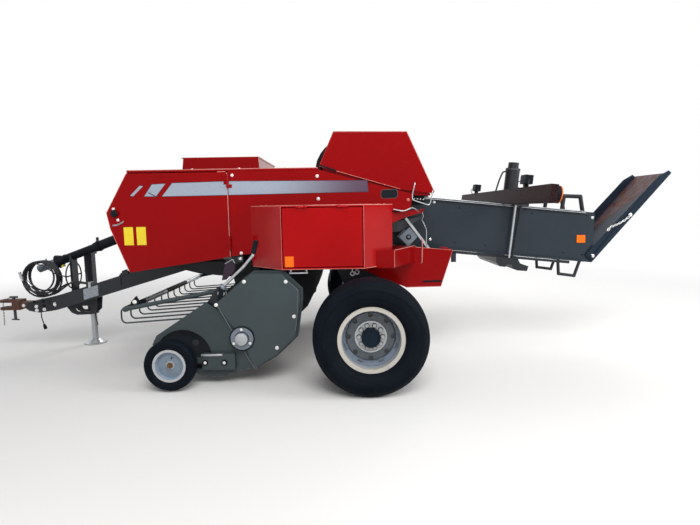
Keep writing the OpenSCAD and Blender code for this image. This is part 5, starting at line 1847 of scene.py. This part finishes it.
@dataclass
class Pickup(Assembly):
    """Pickup with its shields, reel, windguard and hand lever."""

    shield_y: float = 0.98
    seam_y: float = shield_y + 0.0005
    hub: Point2 = (-0.904, 0.345)
    # The hub's outlines give radius and distance out of the shield.
    # A thin dark ring round the flange's edge, and below, a dark ring at the dome's foot painted as the shade
    # in its groove.
    seal: Outline = ((0.0835, -0.001), (0.0885, -0.001), (0.0885, 0.0095), (0.081, 0.0095), (0.0795, 0.007))
    groove: Outline = ((0.0465, 0.0078), (0.0505, 0.0078), (0.0505, 0.0095), (0.0465, 0.0095))
    hub_circle: float = 0.066
    hub_angles: tuple[int, ...] = (90, 210, 330)
    bar: tuple[Point3, Point3] = ((-1.2, 0.968, 0.222), (-1.046, 0.992, 0.236))
    washer: Outline = ((0.0, 0.0), (0.021, 0.0), (0.021, 0.005), (0.018, 0.009), (0.0, 0.009))
    washers: Path = ((-1.172, 0.985, 0.175), (-1.036, 0.985, 0.173))
    guard_bar: Point2 = (-1.765, 0.548)
    sleeves: tuple[Point2, ...] = ((-0.56, -0.13), (0.38, 0.79))
    covers: tuple[Point2, ...] = ((-0.12, 0.37), (-0.86, -0.57))
    lever_y: float = -0.945
    grip: Path = ((-0.8095, lever_y, 0.944), (-0.786, lever_y, 1.036))
    boot: Path = ((-1.04, lever_y, 0.7), (-1.053, lever_y, 0.615))
    collar_at: Path = ((-1.036, lever_y, 0.706), (-0.881, lever_y, 0.852))
    collar: Outline = ((0.027, 0.0), (0.029, 0.006), (0.025, 0.016), (0.0118, 0.02))
    pieces: tuple[Piece, ...] = (
        BoltRow("shield_bolts", 0.022, ((-0.875, shield_y, 0.75), (-0.583, shield_y, 0.746),
                                        (-1.078, shield_y, 0.588), (-0.532, shield_y, 0.497),
                                        (-0.66, shield_y, 0.272))),
        # Lighter lines along the seams between pickup sheet and shield: painted highlights on their edges.
        Bend("shield_seam_1", SHEET_ZINC, 0.0016, ((-1.067, seam_y, 0.571), (-1.057, seam_y, 0.561),
                                                   (-0.975, seam_y, 0.405))),
        Bend("shield_seam_2", SHEET_ZINC, 0.0016, ((-0.891, seam_y, 0.243), (-0.823, seam_y, 0.124))),
        Bend("shield_seam_3", SHEET_ZINC, 0.0016, ((-0.6, seam_y, 0.775), (-0.584, seam_y, 0.762),
                                                   (-0.5, seam_y, 0.686), (-0.51, seam_y, 0.501),
                                                   (-0.525, seam_y, 0.393))),
        Knob("hub_dome", ZINC, ((0.0465, 0.007), (0.0465, 0.024), (0.043, 0.031), (0.03, 0.0335),
                                (0.012, 0.0345), (0.0, 0.0345)), (-0.904, shield_y, 0.345)),
        BoltRow("gauge_bolts", 0.018, ((-1.172, 0.994, 0.175), (-1.036, 0.994, 0.173)), body="pickup"),
        Sheet("gauge_plate", CHARCOAL, ((-1.195, 0.238), (-1.09, 0.238), (-1.09, 0.125), (-1.195, 0.128)),
              0.98, 0.986, 0.001, "pickup"),
        Sheet("windguard_lug", PLASTIC, ((-1.74, 0.552), (-1.728, 0.598), (-1.69, 0.64), (-1.665, 0.59),
                                         (-1.668, 0.567)), 0.846, 0.868, 0.002, "windguard"),
        BoltRow("windguard_lug_bolt", 0.026, ((-1.7, 0.868, 0.597),), body="windguard"))

    def build(self) -> None:
        """Finish the nodes and add their small parts."""
        dress(CHARCOAL, "shield_left", "shield_right", "pickup_left", "pickup_right", edge=0.002)
        dress(CHARCOAL, "windguard", "feed_trough", "strippers")
        dress(FLANK, "feed_duct")
        dress(BLACK, "pickup_frame")
        dress(DARK_STEEL, "reel")
        dress(ZINC, "feed_auger", "lift_lever")
        dress(SHEET_ZINC, "hub_caps")
        for side in Side:
            for piece in self.pieces:
                piece.build(side)
            self.shield_hub(side)
            self.bracket(side)
        self.guard_tubes("windguard_sleeves", ZINC, self.sleeves, 0.0215)
        self.guard_tubes("windguard_covers", PLASTIC, self.covers, 0.0212)
        self.lever()

    def shield_hub(self, side: Side) -> None:
        """Set the shield hub's thin dark ring round its flange, the dark ring painted as the shade in the
        groove round the dome, and its bolts.

        Args:
            side: The machine's side.
        """
        s = side.value
        x, z = self.hub
        centre = place(x, s * self.shield_y, z)
        self.rings(side.own("hub_seal"), PLASTIC, "chassis", self.seal, [centre], side.out, 48)
        self.rings(side.own("hub_groove"), PLASTIC, "chassis", self.groove, [centre], side.out, 40)
        places = [place(x + self.hub_circle * math.cos(math.radians(a)), s * (self.shield_y + 0.0155),
                        z + self.hub_circle * math.sin(math.radians(a))) for a in self.hub_angles]
        self.bolts(side.own("hub_bolts"), "chassis", side.out, 0.017, places)

    def bracket(self, side: Side) -> None:
        """Lay the gauge wheel bracket's zinc bar and the black washers of its bolts.

        Args:
            side: The machine's side.
        """
        bar = Mould(side.own("gauge_bar"), ZINC)
        bar.block(*((x, side.value * y, z) for x, y, z in self.bar)).cast("pickup", bevel=0.002)
        self.rings(side.own("gauge_washers"), PLASTIC, "pickup", self.washer, on(side, *self.washers),
                   side.out, 24, closed=False)

    def guard_tubes(self, name: str, finish: Finish, spans: tuple[Point2, ...], radius: float) -> None:
        """Slide tubes on the windguard's bar.

        Args:
            name: The piece's name.
            finish: Its finish.
            spans: Both ends of each tube, across the machine.
            radius: Their radius.
        """
        x, z = self.guard_bar
        tubes = Mould(name, finish)
        for span in spans:
            tubes.tube([place(x, y, z) for y in span], radius, 24)
        tubes.cast("windguard", smooth=50)

    def lever(self) -> None:
        """Put the black grip and boot and the dull collar on the hand lever."""
        for name, path, radius, sides in (("lever_grip", self.grip, 0.0185, 16),
                                          ("lever_boot", self.boot, 0.024, 20)):
            tube = Mould(name, PLASTIC).tube([place(*p) for p in path], radius, sides)
            tube.cast("chassis", bevel=0.003, smooth=50)
        foot, end = (place(*p) for p in self.collar_at)
        self.knob("lever_collar", SHEET_ZINC, "chassis", self.collar, foot, (end - foot).normalized())


def main() -> None:
    """Build the scene in order."""
    logging.basicConfig(level=logging.INFO, format="%(message)s")
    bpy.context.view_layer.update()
    bpy.context.scene.view_settings.view_transform = "Standard"
    Camera().build()
    Hoses().build()
    Studio().build()
    for side in Side:
        Wheel(side).build()
        GaugeWheel(side).build()
    for assembly in (Hood(), Chamber(), Running(), Pickup()):
        assembly.build()


if __name__ == "__main__":
    main()
